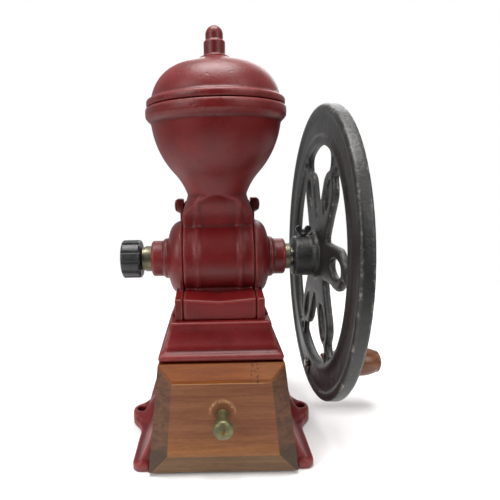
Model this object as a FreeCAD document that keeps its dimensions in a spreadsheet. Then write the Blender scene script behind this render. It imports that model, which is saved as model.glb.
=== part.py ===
import FreeCAD, Part
import Sketcher
import os
import re

# Hand crank coffee grinder: a cast-iron box mill with a side flywheel and a drawer.
# Frame: Z up, X along the shaft towards the flywheel, Y away from the drawer.
# Origin: on the table, under the crossing of the hopper axis and the shaft axis.

SIZES = {
    # Base casting, half sizes measured from the middle.
    "foot_half_width": 69.5, "foot_half_depth": 76, "foot_thickness": 6.5, "foot_corner": 7,
    "waist_half_depth": 38, "lug_reach": 80.5, "lug_spacing": 144.4, "lug_radius": 13.5,
    "lug_height": 10.5, "lug_hole_radius": 4.6, "lug_rim_radius": 7.4, "lug_rim_height": 1.5,
    "slope_half_width": 65, "knee_half_width": 50.5, "knee_height": 58, "knee_sag": 3.5,
    "shoulder_height": 82, "shoulder_half_width": 47.7, "shoulder_half_depth": 56.2,
    "front_lean": 19.4, "bead_height": 5, "bead_overhang": 4.8, "groove_height": 4.5,
    "cove_rise": 18, "cove_spread": 4.6, "cove_sag": 1.3, "top_half_width": 39.4,
    "top_half_depth": 50, "base_wall": 5.6, "base_floor": 4, "base_plate": 9.5,
    "cavity_back": 52, "gusset_offset": 50, "gusset_rise": 44, "top_web": 6, "rail_wall": 4,
    "hollow_end_wall": 12, "hollow_top_half_width": 51.5, "hollow_flank_height": 19.5,
    "hollow_height": 28.6,
    # Centre casting: pedestal, drum, neck and hopper.
    "pedestal_half_depth": 45, "pedestal_height": 17, "ledge_rise": 2.4, "ledge_half_depth": 27,
    "split_half_width": 28.5, "split_gap": 0.2, "axis_rise": 41.5, "drum_radius": 31.2,
    "band_inner": 15, "band_outer": 19, "band_height": 1, "edge_band_width": 2.3,
    "chamber_radius": 27, "feed_radius": 24, "wall_face": 10, "wall_thickness": 4,
    "chute_near": 11, "chute_far": 26, "chute_half_depth": 18,
    "neck_half_depth": 15, "neck_straight": 6, "neck_corner": 40, "waist_rise": 52.6,
    "waist_radius": 24.1, "belly_radius": 45.2, "belly_drop": 33, "turn_radius": 34.5,
    "turn_drop": 49, "bowl_radius": 51.3, "hopper_rise": 119, "rim_radius": 55.3,
    "rim_height": 8, "rim_bead": 2, "hopper_wall": 4.2, "throat_radius": 11,
    # End housings.
    "shoulder_depth": 12.5, "shoulder_radius": 17.5, "ring_radius": 16.9, "ring_width": 4.1,
    "boss_radius": 15, "boss_length": 10.4, "strip_width": 6, "flank_half_depth": 32,
    "housing_bore": 10.92, "housing_web": 3, "ear_depth": 12, "ear_setback": 18, "ear_rise": 49,
    "ear_width": 6, "ear_lug_depth": 7.4,
    # Fasteners.
    "small_screw": 2, "screw_radius": 2.5, "screw_gap": 0.06, "screw_head": 4.4,
    "screw_head_height": 3, "housing_screw_inset": 3.5, "housing_screw_y": 20,
    "body_screw_x": 15, "body_screw_y": 40, "screw_bite": 9, "ear_head_radius": 5,
    "ear_head_height": 2.2,
    # Lid.
    "lid_gap": 0.3, "lid_radius": 54.2, "lid_band": 5.6, "lid_top_radius": 31,
    "lid_top_rise": 29.8, "lid_dome_radius": 47, "lid_dome_rise": 17.2, "lid_peak_rise": 36.2,
    "lid_wall": 3.4, "lid_plug_depth": 5, "lid_plug_gap": 0.7, "knob_foot_radius": 12,
    "knob_foot_height": 2.6, "knob_barrel_radius": 8.3, "knob_barrel_height": 10,
    "knob_tip_radius": 6.8, "knob_tip_height": 10.8,
    # Shaft line, distances along X from the hopper axis.
    "shaft_radius": 7, "running_gap": 0.05, "press_gap": 0.02, "shaft_left": 27.3,
    "shaft_end_reach": 26.8, "ball_radius": 4, "pin_radius": 1.5, "pin_offset": 24.4,
    "adjuster_radius": 6, "adjuster_stand": 21.5, "bush_radius": 10.8, "bush_collar_radius": 10,
    "bush_stand": 5.5, "bush_collar_stand": 8.4, "bush_seat_depth": 15.5, "knob_stand": 9.1,
    "knob_length": 16, "knob_radius": 16, "knob_flutes": 12, "flute_radius": 1.7,
    "shaft_bush_stand": 4.9, "shaft_bush_depth": 16.5,
    "fixed_burr_thickness": 6, "burr_radius": 24.6, "burr_eye": 13.5, "burr_gap": 0.6,
    "moving_burr_thickness": 5, "moving_hub_radius": 11, "moving_hub_length": 6,
    "tooth_count": 24, "tooth_width": 1.2, "tooth_depth": 1, "burr_screw_circle": 18.5,
    "auger_radius": 12.6, "auger_pitch": 14, "auger_start": 6, "auger_length": 22,
    "auger_thread": 3, "auger_core": 9, "spring_clearance": 2.2, "spring_wire": 1,
    "spring_turns": 4, "spring_left": 22.5, "spring_seat": 3.4,
    # Flywheel and crank handle.
    "wheel_radius": 120, "wheel_set": 18.5, "wheel_width": 9.65, "lip_width": 6,
    "web_recess": 1.8, "web_width": 17, "wheel_bead_width": 7, "wheel_bead_recess": 0.8,
    "hub_stand": 6.7, "hub_radius": 16.8, "hub_flange_radius": 18.6, "petal_count": 6,
    "petal_root": 24.4, "petal_tip_gap": 17.5, "petal_half_width": 6.6, "gap_root": 13.9,
    "spoke_neck": 5.6, "gap_corner": 8, "notch_depth": 6.4, "notch_half_width": 5.2,
    "thumb_screw_set": 9.3, "thumb_screw_radius": 2.5, "thumb_head_rise": 2, "wing_height": 6.4,
    "wing_span": 12.4, "wing_thickness": 3.4, "hub_lump_set": 18.4, "hub_lump_radius": 3.2,
    "crank_inset": 13.6, "crank_angle": 9, "crank_boss_radius": 8.5, "handle_bolt_radius": 3.5,
    "bolt_end_stand": 1, "grip_gap": 0.4, "grip_length": 53, "grip_neck_radius": 8.5,
    "grip_belly_radius": 13.2, "grip_end_radius": 9.5, "handle_nut_radius": 5.6,
    "handle_nut_height": 4, "handle_head_radius": 6, "handle_head_height": 2.4,
    "handle_washer_radius": 6.2, "washer_thickness": 1.2,
    # Drawer.
    "panel_gap": 0.4, "panel_edge": 5.5, "panel_raise": 6.2, "panel_top_half_width": 47.6,
    "panel_bottom_half_width": 55.9, "panel_top_drop": 2, "panel_foot": 2,
    "field_top": 69.5, "field_bottom": 17.5, "field_top_half_width": 36.6,
    "field_bottom_half_width": 41, "tray_half_width": 42, "tray_clearance": 0.5,
    "tray_wall": 6, "tray_height": 58, "tray_back": 48, "tray_bottom": 4, "tray_foot": 0.5,
    "drawer_knob_height": 48, "drawer_knob_length": 24, "drawer_knob_radius": 7.2,
    "drawer_knob_neck": 3.6, "drawer_screw_radius": 2, "drawer_screw_head": 4,
    "nail_radius": 0.8, "nail_length": 14,
}

# Levels and places that several pieces share, as formulas on the sizes.
BEAD_TOP = "(shoulder_height + bead_height)"
COVE_FOOT = "(shoulder_height + bead_height + groove_height)"
BASE_TOP = "(shoulder_height + bead_height + groove_height + cove_rise)"
AXIS = "(shoulder_height + bead_height + groove_height + cove_rise + axis_rise)"
HOPPER_TOP = "(shoulder_height + bead_height + groove_height + cove_rise + axis_rise + hopper_rise)"
CENTRE_HALF = "(split_half_width - split_gap / 2)"
HOUSING_START = "(split_half_width + split_gap / 2)"
BOSS_END = "boss_end"
OPENING_TOP = "(shoulder_height - top_web)"
LEAN = "(front_lean / shoulder_height)"
TRAY_FLOOR = "(base_floor + tray_foot)"
HUB_RIGHT = "(wheel_inner_face + wheel_width)"
CRANK_Y = "((wheel_radius - crank_inset) * sin(crank_angle * 1 deg))"
CRANK_Z = "(" + AXIS + " - (wheel_radius - crank_inset) * cos(crank_angle * 1 deg))"
MOVING_FACE = "(wall_face + fixed_burr_thickness + burr_gap)"

# Places along X that follow from the sizes, each named as the sizes are.
PLACES = {
    "shoulder_reach": "split_half_width + shoulder_depth",
    "boss_end": "shoulder_reach + ring_width + boss_length",
    "housing_screw_x": "split_half_width + housing_screw_inset",
    "bush_left": "boss_end + bush_stand", "bush_collar_left": "boss_end + bush_collar_stand",
    "bush_inner": "boss_end - bush_seat_depth", "knob_right": "boss_end + knob_stand",
    "adjuster_left": "boss_end + adjuster_stand",
    "shaft_bush_right": "boss_end + shaft_bush_stand",
    "shaft_bush_inner": "boss_end - shaft_bush_depth",
    "spring_radius": "shaft_radius + spring_clearance",
    "spring_right": "shoulder_reach - spring_seat",
    "hub_left": "boss_end + hub_stand", "wheel_inner_face": "hub_left + wheel_set",
    "shaft_right": "hub_left + shaft_end_reach", "thumb_screw_x": "hub_left + thumb_screw_set",
    "hub_lump_x": "hub_left + hub_lump_set",
}

doc = FreeCAD.newDocument("coffee_grinder")
sheet = doc.addObject("Spreadsheet::Sheet", "Sizes")
for row, (name, size) in enumerate(SIZES.items(), start=1):
    sheet.set("A" + str(row), name)
    sheet.set("B" + str(row), str(size))
    sheet.setAlias("B" + str(row), name)
doc.recompute()

nodes = []


def link(formula):
    """The formula with each size's name pointing at its cell in the sheet, and each place's
    name written out as its own formula."""
    def written(word):
        name = word.group()
        if name in PLACES:
            return "(" + link(PLACES[name]) + ")"
        return "Sizes." + name if name in SIZES else name
    return re.sub(r"[a-z][a-z_]+", written, str(formula))


def amount(formula):
    """The present value of a formula, in millimetres."""
    found = sheet.evalExpression(link(formula))
    return float(getattr(found, "Value", found))


def bind(thing, **formulas):
    """Ties properties of a document object to formulas on the sizes."""
    for name, formula in formulas.items():
        thing.setExpression(name.replace("__", "."), link(formula))
    return thing


def place(thing, x=0, y=0, z=0):
    """Puts an object at a point given by three formulas."""
    return bind(thing, Placement__Base__x=x, Placement__Base__y=y, Placement__Base__z=z)


def keep(thing, label):
    """Names an object as a finished sub-part."""
    thing.Label = label
    nodes.append(thing)
    return thing


def new_body(name, x=0, y=0, z=0):
    """An empty body whose own origin stands at the given point."""
    return place(doc.addObject("PartDesign::Body", name), x, y, z)


def origin_of(body, role):
    """A plane or axis of the body's own origin."""
    return next(item for item in body.Origin.OriginFeatures if item.Role == role)


def new_sketch(body, plane, offset=0):
    """A sketch on an origin plane, moved along the plane's normal by the offset."""
    sketch = body.newObject("Sketcher::SketchObject", body.Name + "_sketch")
    sketch.AttachmentSupport = [(origin_of(body, plane + "_Plane"), "")]
    sketch.MapMode = "FlatFace"
    return bind(sketch, AttachmentOffset__Base__z=offset)


def pin_point(sketch, geometry, vertex, corner):
    """Ties a sketch point to two formulas measured from the sketch's origin."""
    for kind, formula in zip(("DistanceX", "DistanceY"), corner):
        index = sketch.addConstraint(
            Sketcher.Constraint(kind, -1, 1, geometry, vertex, amount(formula)))
        sketch.setExpression("Constraints[" + str(index) + "]", link(formula))


def outline(body, plane, corners, offset=0):
    """A closed outline. A corner is (u, v), or (u, v, middle u, middle v) where the edge
    that arrives at it is an arc through that middle point."""
    sketch = new_sketch(body, plane, offset)
    points = [FreeCAD.Vector(amount(corner[0]), amount(corner[1]), 0) for corner in corners]
    ends = []
    for index, corner in enumerate(corners):
        start, end = points[index - 1], points[index]
        if len(corner) == 2:
            edge = sketch.addGeometry(Part.LineSegment(start, end), False)
        else:
            middle = FreeCAD.Vector(amount(corner[2]), amount(corner[3]), 0)
            edge = sketch.addGeometry(Part.Arc(start, middle, end), False)
            dot = sketch.addGeometry(Part.Point(middle), True)
            pin_point(sketch, dot, 1, corner[2:])
            sketch.addConstraint(Sketcher.Constraint("PointOnObject", dot, 1, edge))
        first = 1 if sketch.getPoint(edge, 1).distanceToPoint(start) < 0.001 else 2
        ends.append((edge, first, 3 - first))
    for index, corner in enumerate(corners):
        edge, first, last = ends[index]
        pin_point(sketch, edge, last, corner[:2])
        following, opening, _ = ends[(index + 1) % len(ends)]
        sketch.addConstraint(
            Sketcher.Constraint("Coincident", edge, last, following, opening))
    return sketch


def ring(body, plane, radius, u=0, v=0, offset=0):
    """A circle about the point (u, v)."""
    sketch = new_sketch(body, plane, offset)
    centre = FreeCAD.Vector(amount(u), amount(v), 0)
    circle = sketch.addGeometry(
        Part.Circle(centre, FreeCAD.Vector(0, 0, 1), amount(radius)), False)
    size = sketch.addConstraint(Sketcher.Constraint("Radius", circle, amount(radius)))
    sketch.setExpression("Constraints[" + str(size) + "]", link(radius))
    pin_point(sketch, circle, 3, (u, v))
    return sketch


def extrude(body, kind, sketch, length, both=False, reverse=False):
    """A pad or pocket of the sketch."""
    feature = body.newObject("PartDesign::" + kind, body.Name + "_" + kind.lower())
    feature.Profile = sketch
    feature.SideType = "Symmetric" if both else "One side"
    feature.Reversed = reverse
    return bind(feature, Length=length)


def turn(body, kind, sketch, axis):
    """A revolution or groove of the sketch about one of its own axes."""
    feature = body.newObject("PartDesign::" + kind, body.Name + "_" + kind.lower())
    feature.Profile = sketch
    feature.ReferenceAxis = (sketch, [axis])
    feature.Angle = 360
    return feature


def pattern(body, feature, axis, count):
    """Repeats a feature round one of the body's axes."""
    repeat = body.newObject("PartDesign::PolarPattern", body.Name + "_pattern")
    repeat.Originals = [feature]
    repeat.Axis = (origin_of(body, axis + "_Axis"), [""])
    repeat.Angle = 360
    bind(repeat, Occurrences=count)
    body.Tip = repeat
    return repeat


def turned_x(name, corners, y=0, z=AXIS, x=0):
    """A piece turned about a line along X; corners are (distance along X, radius)."""
    body = new_body(name, x, y, z)
    turn(body, "Revolution", outline(body, "XZ", corners), "H_Axis")
    return body


def turned_z(name, corners, x=0, y=0, z=0):
    """A piece turned about a vertical line; corners are (radius, height)."""
    body = new_body(name, x, y, z)
    turn(body, "Revolution", outline(body, "XZ", corners), "V_Axis")
    return body


def bar_x(name, radius, left, right, y=0, z=AXIS, bore=None):
    """A round bar along X, or a tube when it has a bore."""
    inner = bore if bore is not None else 0
    return turned_x(name, [(left, inner), (left, radius), (right, radius), (right, inner)], y, z)


def plate_y(name, corners, half_depth):
    """An outline in X and Z carried along Y both ways."""
    body = new_body(name)
    extrude(body, "Pad", outline(body, "XZ", corners), "2 * (" + str(half_depth) + ")", both=True)
    return body


def plate_x(name, corners, left, right):
    """An outline in Y and Z carried along X from left to right."""
    body = new_body(name)
    extrude(body, "Pad", outline(body, "YZ", corners, left),
            "(" + str(right) + ") - (" + str(left) + ")")
    return body


def block(name, low, high):
    """A rectangular block between two corners given by formulas."""
    box = doc.addObject("Part::Box", name)
    spans = ["(" + str(b) + ") - (" + str(a) + ")" for a, b in zip(low, high)]
    bind(box, Length=spans[0], Width=spans[1], Height=spans[2])
    return place(box, *low)


def post(name, radius, low, high, x=0, y=0):
    """A vertical round post."""
    rod = doc.addObject("Part::Cylinder", name)
    bind(rod, Radius=radius, Height="(" + str(high) + ") - (" + str(low) + ")")
    return place(rod, x, y, low)


def fuse(name, *pieces):
    """The pieces joined into one, added one after the other."""
    whole = pieces[0]
    for index, piece in enumerate(pieces[1:], start=2):
        joined = doc.addObject("Part::Fuse", name if index == len(pieces) else name + "_step")
        joined.Base = whole
        joined.Tool = piece
        whole = joined
    return whole


def group(name, *pieces):
    """Separate solids of one kind kept together as one sub-part."""
    together = doc.addObject("Part::Compound", name)
    together.Links = list(pieces)
    return together


def common(name, *pieces):
    shared = doc.addObject("Part::MultiCommon", name)
    shared.Shapes = list(pieces)
    return shared


def cut(name, stock, *tools):
    """The stock with every tool taken away, one after the other."""
    for index, tool in enumerate(tools):
        last = index == len(tools) - 1
        rest = doc.addObject("Part::Cut", name if last else name + "_step")
        rest.Base = stock
        rest.Tool = tool
        stock = rest
    return stock


def mirror_x(name, source):
    """The same piece on the other side of the middle plane."""
    twin = doc.addObject("Part::Mirroring", name)
    twin.Source = source
    twin.Normal = FreeCAD.Vector(1, 0, 0)
    return twin


def minus(formula):
    return "-(" + str(formula) + ")"


def mirrored_outline(right_side):
    """Corners up the right side, with the same ones down the left side."""
    left = []
    count = len(right_side)
    for index in range(count - 1, -1, -1):
        corner = [minus(right_side[index][0]), right_side[index][1]]
        arriving = right_side[index + 1] if index + 1 < count else ()
        if len(arriving) == 4:
            corner += [minus(arriving[2]), arriving[3]]
        left.append(tuple(corner))
    return list(right_side) + left


def dome_middle(radius, rise):
    """Middle of a round-nosed arc that starts at a radius and ends on the axis, square to it:
    the radius there and the share of the rise, both as formulas."""
    sphere = "((" + radius + ") ^ 2 + (" + rise + ") ^ 2) / (2 * (" + rise + "))"
    half_turn = "(asin((" + radius + ") / (" + sphere + ")) / 2)"
    across = "(" + sphere + ") * sin(" + half_turn + ")"
    up = "(" + rise + ") - (" + sphere + ") * (1 - cos(" + half_turn + "))"
    return across, "(" + up + ")"


def base_casting():
    """Foot flange with two bench lugs, flared sides, bead, cove and top plate."""
    front = "(shoulder_half_depth + front_lean)"
    sides = plate_y("base_sides", mirrored_outline([
        ("slope_half_width", 0), ("slope_half_width", "foot_thickness"),
        ("knee_half_width", "knee_height", "(slope_half_width + knee_half_width) / 2 - knee_sag",
         "foot_thickness + (knee_height - foot_thickness) * 0.42"),
        ("shoulder_half_width", "shoulder_height"), ("shoulder_half_width", BEAD_TOP + " - 1"),
        ("shoulder_half_width - 1", BEAD_TOP, "shoulder_half_width - 0.3", BEAD_TOP + " - 0.3"),
        ("top_half_width + cove_spread - 0.6", BEAD_TOP + " + groove_height * 0.45"),
        ("top_half_width + cove_spread", COVE_FOOT),
        ("top_half_width", BASE_TOP + " - 0.8", "top_half_width + cove_spread / 2 - cove_sag",
         COVE_FOOT + " + cove_rise / 2"),
        ("top_half_width - 0.8", BASE_TOP)]), "foot_half_depth + 8")
    ends = plate_x("base_ends", mirrored_outline([
        (front, 0), ("shoulder_half_depth", "shoulder_height"),
        ("shoulder_half_depth + bead_overhang", "shoulder_height"),
        ("shoulder_half_depth + bead_overhang", BEAD_TOP + " - 1.2"),
        ("shoulder_half_depth + bead_overhang - 1.2", BEAD_TOP,
         "shoulder_half_depth + bead_overhang - 0.35", BEAD_TOP + " - 0.35"),
        ("top_half_depth + cove_spread + 0.8", BEAD_TOP + " + groove_height * 0.45"),
        ("top_half_depth + cove_spread + 1.4", COVE_FOOT),
        ("top_half_depth", BASE_TOP + " - 0.8", "top_half_depth + cove_spread / 2 - cove_sag",
         COVE_FOOT + " + cove_rise / 2"),
        ("top_half_depth - 0.8", BASE_TOP)]), "-slope_half_width - 8", "slope_half_width + 8")
    flared = common("base_flared", sides, ends)

    foot = new_body("base_foot")
    corner = "foot_corner"
    side_in, front_in = "foot_half_width - " + corner, "foot_half_depth - " + corner
    bend = " * 0.293"
    lug_flank = "lug_radius * 1.05"
    quarter = [
        (side_in, minus("foot_half_depth")),
        ("foot_half_width", minus(front_in), "foot_half_width - foot_corner" + bend,
         "-foot_half_depth + foot_corner" + bend),
        ("foot_half_width", "-waist_half_depth"),
        ("foot_half_width + 5", minus(lug_flank), "foot_half_width + 1.2",
         "-(waist_half_depth * 0.35 + lug_radius * 0.68)"),
        ("foot_half_width + 5", lug_flank, "lug_reach", 0),
        ("foot_half_width", "waist_half_depth", "foot_half_width + 1.2",
         "waist_half_depth * 0.35 + lug_radius * 0.68"),
        ("foot_half_width", front_in),
        (side_in, "foot_half_depth", "foot_half_width - foot_corner" + bend,
         "foot_half_depth - foot_corner" + bend)]
    extrude(foot, "Pad", outline(foot, "XY", mirrored_outline(quarter)), "foot_thickness")

    lugs, holes, faces, gussets = [], [], [], []
    for side in ("-", ""):
        at = side + "(lug_spacing / 2)"
        inner = side + "(lug_reach - lug_radius)"
        lugs.append(post("lug_pad", "lug_radius", 0, "lug_height", x=inner))
        lugs.append(post("lug_rim", "lug_rim_radius", 0, "lug_height + lug_rim_height", x=at))
        holes.append(post("lug_hole", "lug_hole_radius", -1, "lug_height + lug_rim_height + 1",
                          x=at))
        faces.append(post("lug_face", "lug_rim_radius + 0.3", "lug_height + lug_rim_height",
                          "knee_height", x=at))
        gussets.append(turned_z("lug_gusset", [
            (0, 0), ("gusset_rise * 0.6", 0), ("gusset_rise * 0.6", "lug_height * 0.9"),
            (1, "gusset_rise", "gusset_rise * 0.27", "gusset_rise * 0.52"),
            (0, "gusset_rise")], x=side + "gusset_offset"))
    body = fuse("base_body", flared, foot, *lugs, *gussets)

    drawer_front_space = plate_x("base_front_space", [
        (minus(front + " + 0.02 * front_lean"), -2), ("-shoulder_half_depth", "shoulder_height"),
        (minus(front + " + 15"), "shoulder_height"), (minus(front + " + 15"), -2)],
        "-panel_bottom_half_width - 1", "panel_bottom_half_width + 1")
    cavity = block("base_cavity", ("-tray_half_width - tray_clearance", minus(front + " + 20"),
                                   "base_floor"),
                   ("tray_half_width + tray_clearance", "cavity_back", OPENING_TOP))
    rail = "tray_half_width + tray_clearance + rail_wall"
    hollow = plate_y("base_hollow", [
        (rail, -1), ("slope_half_width - base_wall", -1), ("slope_half_width - base_wall", 1),
        ("hollow_top_half_width", "hollow_flank_height"), (rail, "hollow_height")],
        "foot_half_depth - hollow_end_wall")
    hollow_twin = mirror_x("base_hollow_twin", hollow)
    recess = block("base_recess", ("-top_half_width + base_wall - 2", "-top_half_depth + base_wall",
                                   OPENING_TOP + " - 1"),
                   ("top_half_width - base_wall + 2", "top_half_depth - base_wall",
                    BASE_TOP + " - base_plate"))
    chute = block("base_chute", ("-chute_far", "-chute_half_depth", OPENING_TOP),
                  ("-chute_near", "chute_half_depth", BASE_TOP + " + 1"))
    screws = [post("base_screw_hole", radius + " + screw_gap", OPENING_TOP, BASE_TOP + " + 1", x, y)
              for radius, x, y in screw_places()]
    return keep(cut("base", body, drawer_front_space, cavity, recess, chute, hollow, hollow_twin,
                    *holes, *faces, *screws), "base")


def screw_places():
    """The upright screws that hold the mill on the base: radius, x and y of each."""
    housings = [("small_screw", sx + "housing_screw_x", sy + "housing_screw_y")
                for sx in ("-", "") for sy in ("-", "")]
    bodies = [("screw_radius", sx + "body_screw_x", sy + "body_screw_y")
              for sx in ("-", "") for sy in ("-", "")]
    return housings + bodies


def pedestal(name, left, right):
    """The foot of the mill: an upright face, a small ledge and a slope up to the drum."""
    return plate_x(name, mirrored_outline([
        ("pedestal_half_depth", BASE_TOP),
        ("pedestal_half_depth", BASE_TOP + " + pedestal_height - 1"),
        ("pedestal_half_depth - 1", BASE_TOP + " + pedestal_height",
         "pedestal_half_depth - 0.3", BASE_TOP + " + pedestal_height - 0.3"),
        ("ledge_half_depth", BASE_TOP + " + pedestal_height + ledge_rise",
         "(pedestal_half_depth + ledge_half_depth) / 2",
         BASE_TOP + " + pedestal_height + ledge_rise * 0.35")]), left, right)


def neck_block(name, left, right, proud=0):
    """The neck from the drum up to the round waist, its corners rounded off on the way."""
    extra = " + " + str(proud)
    waist = AXIS + " + waist_rise"
    drum_top = AXIS + " + drum_radius"
    depth = plate_x(name + "_depth", mirrored_outline([
        ("neck_half_depth" + extra, AXIS), ("neck_half_depth" + extra, drum_top),
        ("waist_radius", waist, "neck_half_depth + (waist_radius - neck_half_depth) * 0.25" + extra,
         drum_top + " + (waist_rise - drum_radius) * 0.6")]), left, right)
    spread = plate_y(name + "_spread", mirrored_outline([
        (CENTRE_HALF, AXIS), (CENTRE_HALF, drum_top + " + neck_straight"),
        ("waist_radius", waist, "(waist_radius + 2 * split_half_width) / 3",
         drum_top + " + neck_straight + (waist_rise - drum_radius - neck_straight) * 0.42")]),
        "waist_radius + 1")
    corners = turned_z(name + "_corners", [
        (0, AXIS), ("neck_corner", AXIS), ("neck_corner", drum_top + " - 1"),
        ("waist_radius", waist, "waist_radius + (neck_corner - waist_radius) * 0.32" + extra,
         drum_top + " + (waist_rise - drum_radius) * 0.45"), (0, waist)])
    return common(name, depth, spread, corners)


def hopper_stock():
    """The bowl from the round waist to the rim, solid."""
    waist = AXIS + " + waist_rise"
    rim = HOPPER_TOP + " - rim_height"
    return turned_z("hopper_stock", [
        (0, waist), ("waist_radius", waist),
        ("turn_radius", HOPPER_TOP + " - turn_drop", "waist_radius + 3.2", waist + " + 7.4"),
        ("bowl_radius", rim + " - rim_bead", "belly_radius", HOPPER_TOP + " - belly_drop"),
        ("bowl_radius + 2", rim + " - rim_bead"), ("rim_radius - 1.3", rim),
        ("rim_radius - 0.6", rim), ("rim_radius", rim + " + 0.6"),
        ("rim_radius", HOPPER_TOP + " - 1"), ("rim_radius - 1", HOPPER_TOP), (0, HOPPER_TOP)])


def hopper_inside():
    """The space inside the bowl and throat."""
    waist = AXIS + " + waist_rise"
    rim = HOPPER_TOP + " - rim_height"
    return turned_z("hopper_inside", [
        (0, AXIS), ("throat_radius", AXIS), ("throat_radius", waist + " + 2"),
        ("turn_radius - hopper_wall", HOPPER_TOP + " - turn_drop + 1.5",
         "throat_radius + 5.5", waist + " + 9"),
        ("bowl_radius - hopper_wall", rim + " - rim_bead", "belly_radius - hopper_wall",
         HOPPER_TOP + " - belly_drop + 1"),
        ("rim_radius - hopper_wall", rim), ("rim_radius - hopper_wall", HOPPER_TOP + " + 1"),
        (0, HOPPER_TOP + " + 1")])


def mill_casting():
    """Hopper, neck, drum and pedestal in one casting, open at both ends of the drum."""
    band = "drum_radius + band_height"
    half_drum = [
        (CENTRE_HALF, 0), (CENTRE_HALF, "drum_radius + band_height * 0.6"),
        (CENTRE_HALF + " - edge_band_width", "drum_radius + band_height * 0.6"),
        (CENTRE_HALF + " - edge_band_width - 0.6", "drum_radius"),
        ("band_outer", "drum_radius"), ("band_outer - 0.5", band), ("band_inner + 0.5", band),
        ("band_inner", "drum_radius")]
    drum = turned_x("drum_stock", mirrored_outline(half_drum))
    foot = pedestal("pedestal_stock", minus(CENTRE_HALF), CENTRE_HALF)
    neck = neck_block("neck_stock", minus(CENTRE_HALF), CENTRE_HALF)
    ribs = [neck_block("neck_rib", "band_inner + 0.3", "band_outer - 0.3", 0.9),
            neck_block("neck_rib", "-band_outer + 0.3", "-band_inner - 0.3", 0.9)]
    lug_z = AXIS + " + ear_rise - ear_depth"
    ears = block("neck_ears", (minus(CENTRE_HALF), "ear_setback - ear_lug_depth / 2", lug_z),
                 (CENTRE_HALF, "ear_setback + ear_lug_depth / 2", AXIS + " + ear_rise - 2"))
    stock = fuse("mill_stock", drum, foot, neck, *ribs, ears, hopper_stock())

    grind_space = bar_x("grind_space", "chamber_radius", "-split_half_width - 5", "-wall_face")
    feed_space = bar_x("feed_space", "feed_radius", "-wall_face + wall_thickness",
                       "split_half_width + 5")
    eye = bar_x("auger_eye", "burr_eye", "-wall_face - 1", "wall_thickness")
    chute = block("mill_chute", ("-chute_far", "-chute_half_depth", BASE_TOP + " - 1"),
                  ("-chute_near", "chute_half_depth", AXIS))
    throat = throat_limit()
    screws = [post("mill_screw_hole", radius + " + screw_gap", BASE_TOP + " - 1",
                   BASE_TOP + " + screw_bite", x, y)
              for radius, x, y in screw_places()[4:]]
    burr_holes = [bar_x("burr_screw_hole", "small_screw + screw_gap", "-wall_face - 1",
                        "-wall_face + wall_thickness + 1", y, z) for y, z in burr_screw_places()]
    ear_holes = [bar_x("ear_hole", "screw_radius + screw_gap", left, right, "ear_setback",
                       AXIS + " + ear_rise - ear_depth / 2")
                 for left, right in (("-split_half_width - 1", "-split_half_width + screw_bite"),
                                     ("split_half_width - screw_bite", "split_half_width + 1"))]
    return keep(cut("mill_body", stock, grind_space, feed_space, eye, chute, throat, *screws,
                    *burr_holes, *ear_holes), "mill_body")


def throat_limit():
    """The bowl and throat, kept on the feed side of the wall that carries the fixed burr."""
    keep_clear = block("grind_side", ("-split_half_width - 20", "-split_half_width - 20", AXIS),
                       ("-wall_face + wall_thickness", "split_half_width + 20",
                        AXIS + " + chamber_radius + 5"))
    return cut("throat_space", hopper_inside(), keep_clear)


def burr_screw_places():
    """Centres of the three screws that hold the fixed burr."""
    return [("burr_screw_circle * sin(" + str(turn_by) + " deg)",
             AXIS + " + burr_screw_circle * cos(" + str(turn_by) + " deg)")
            for turn_by in (60, 180, 300)]


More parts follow.
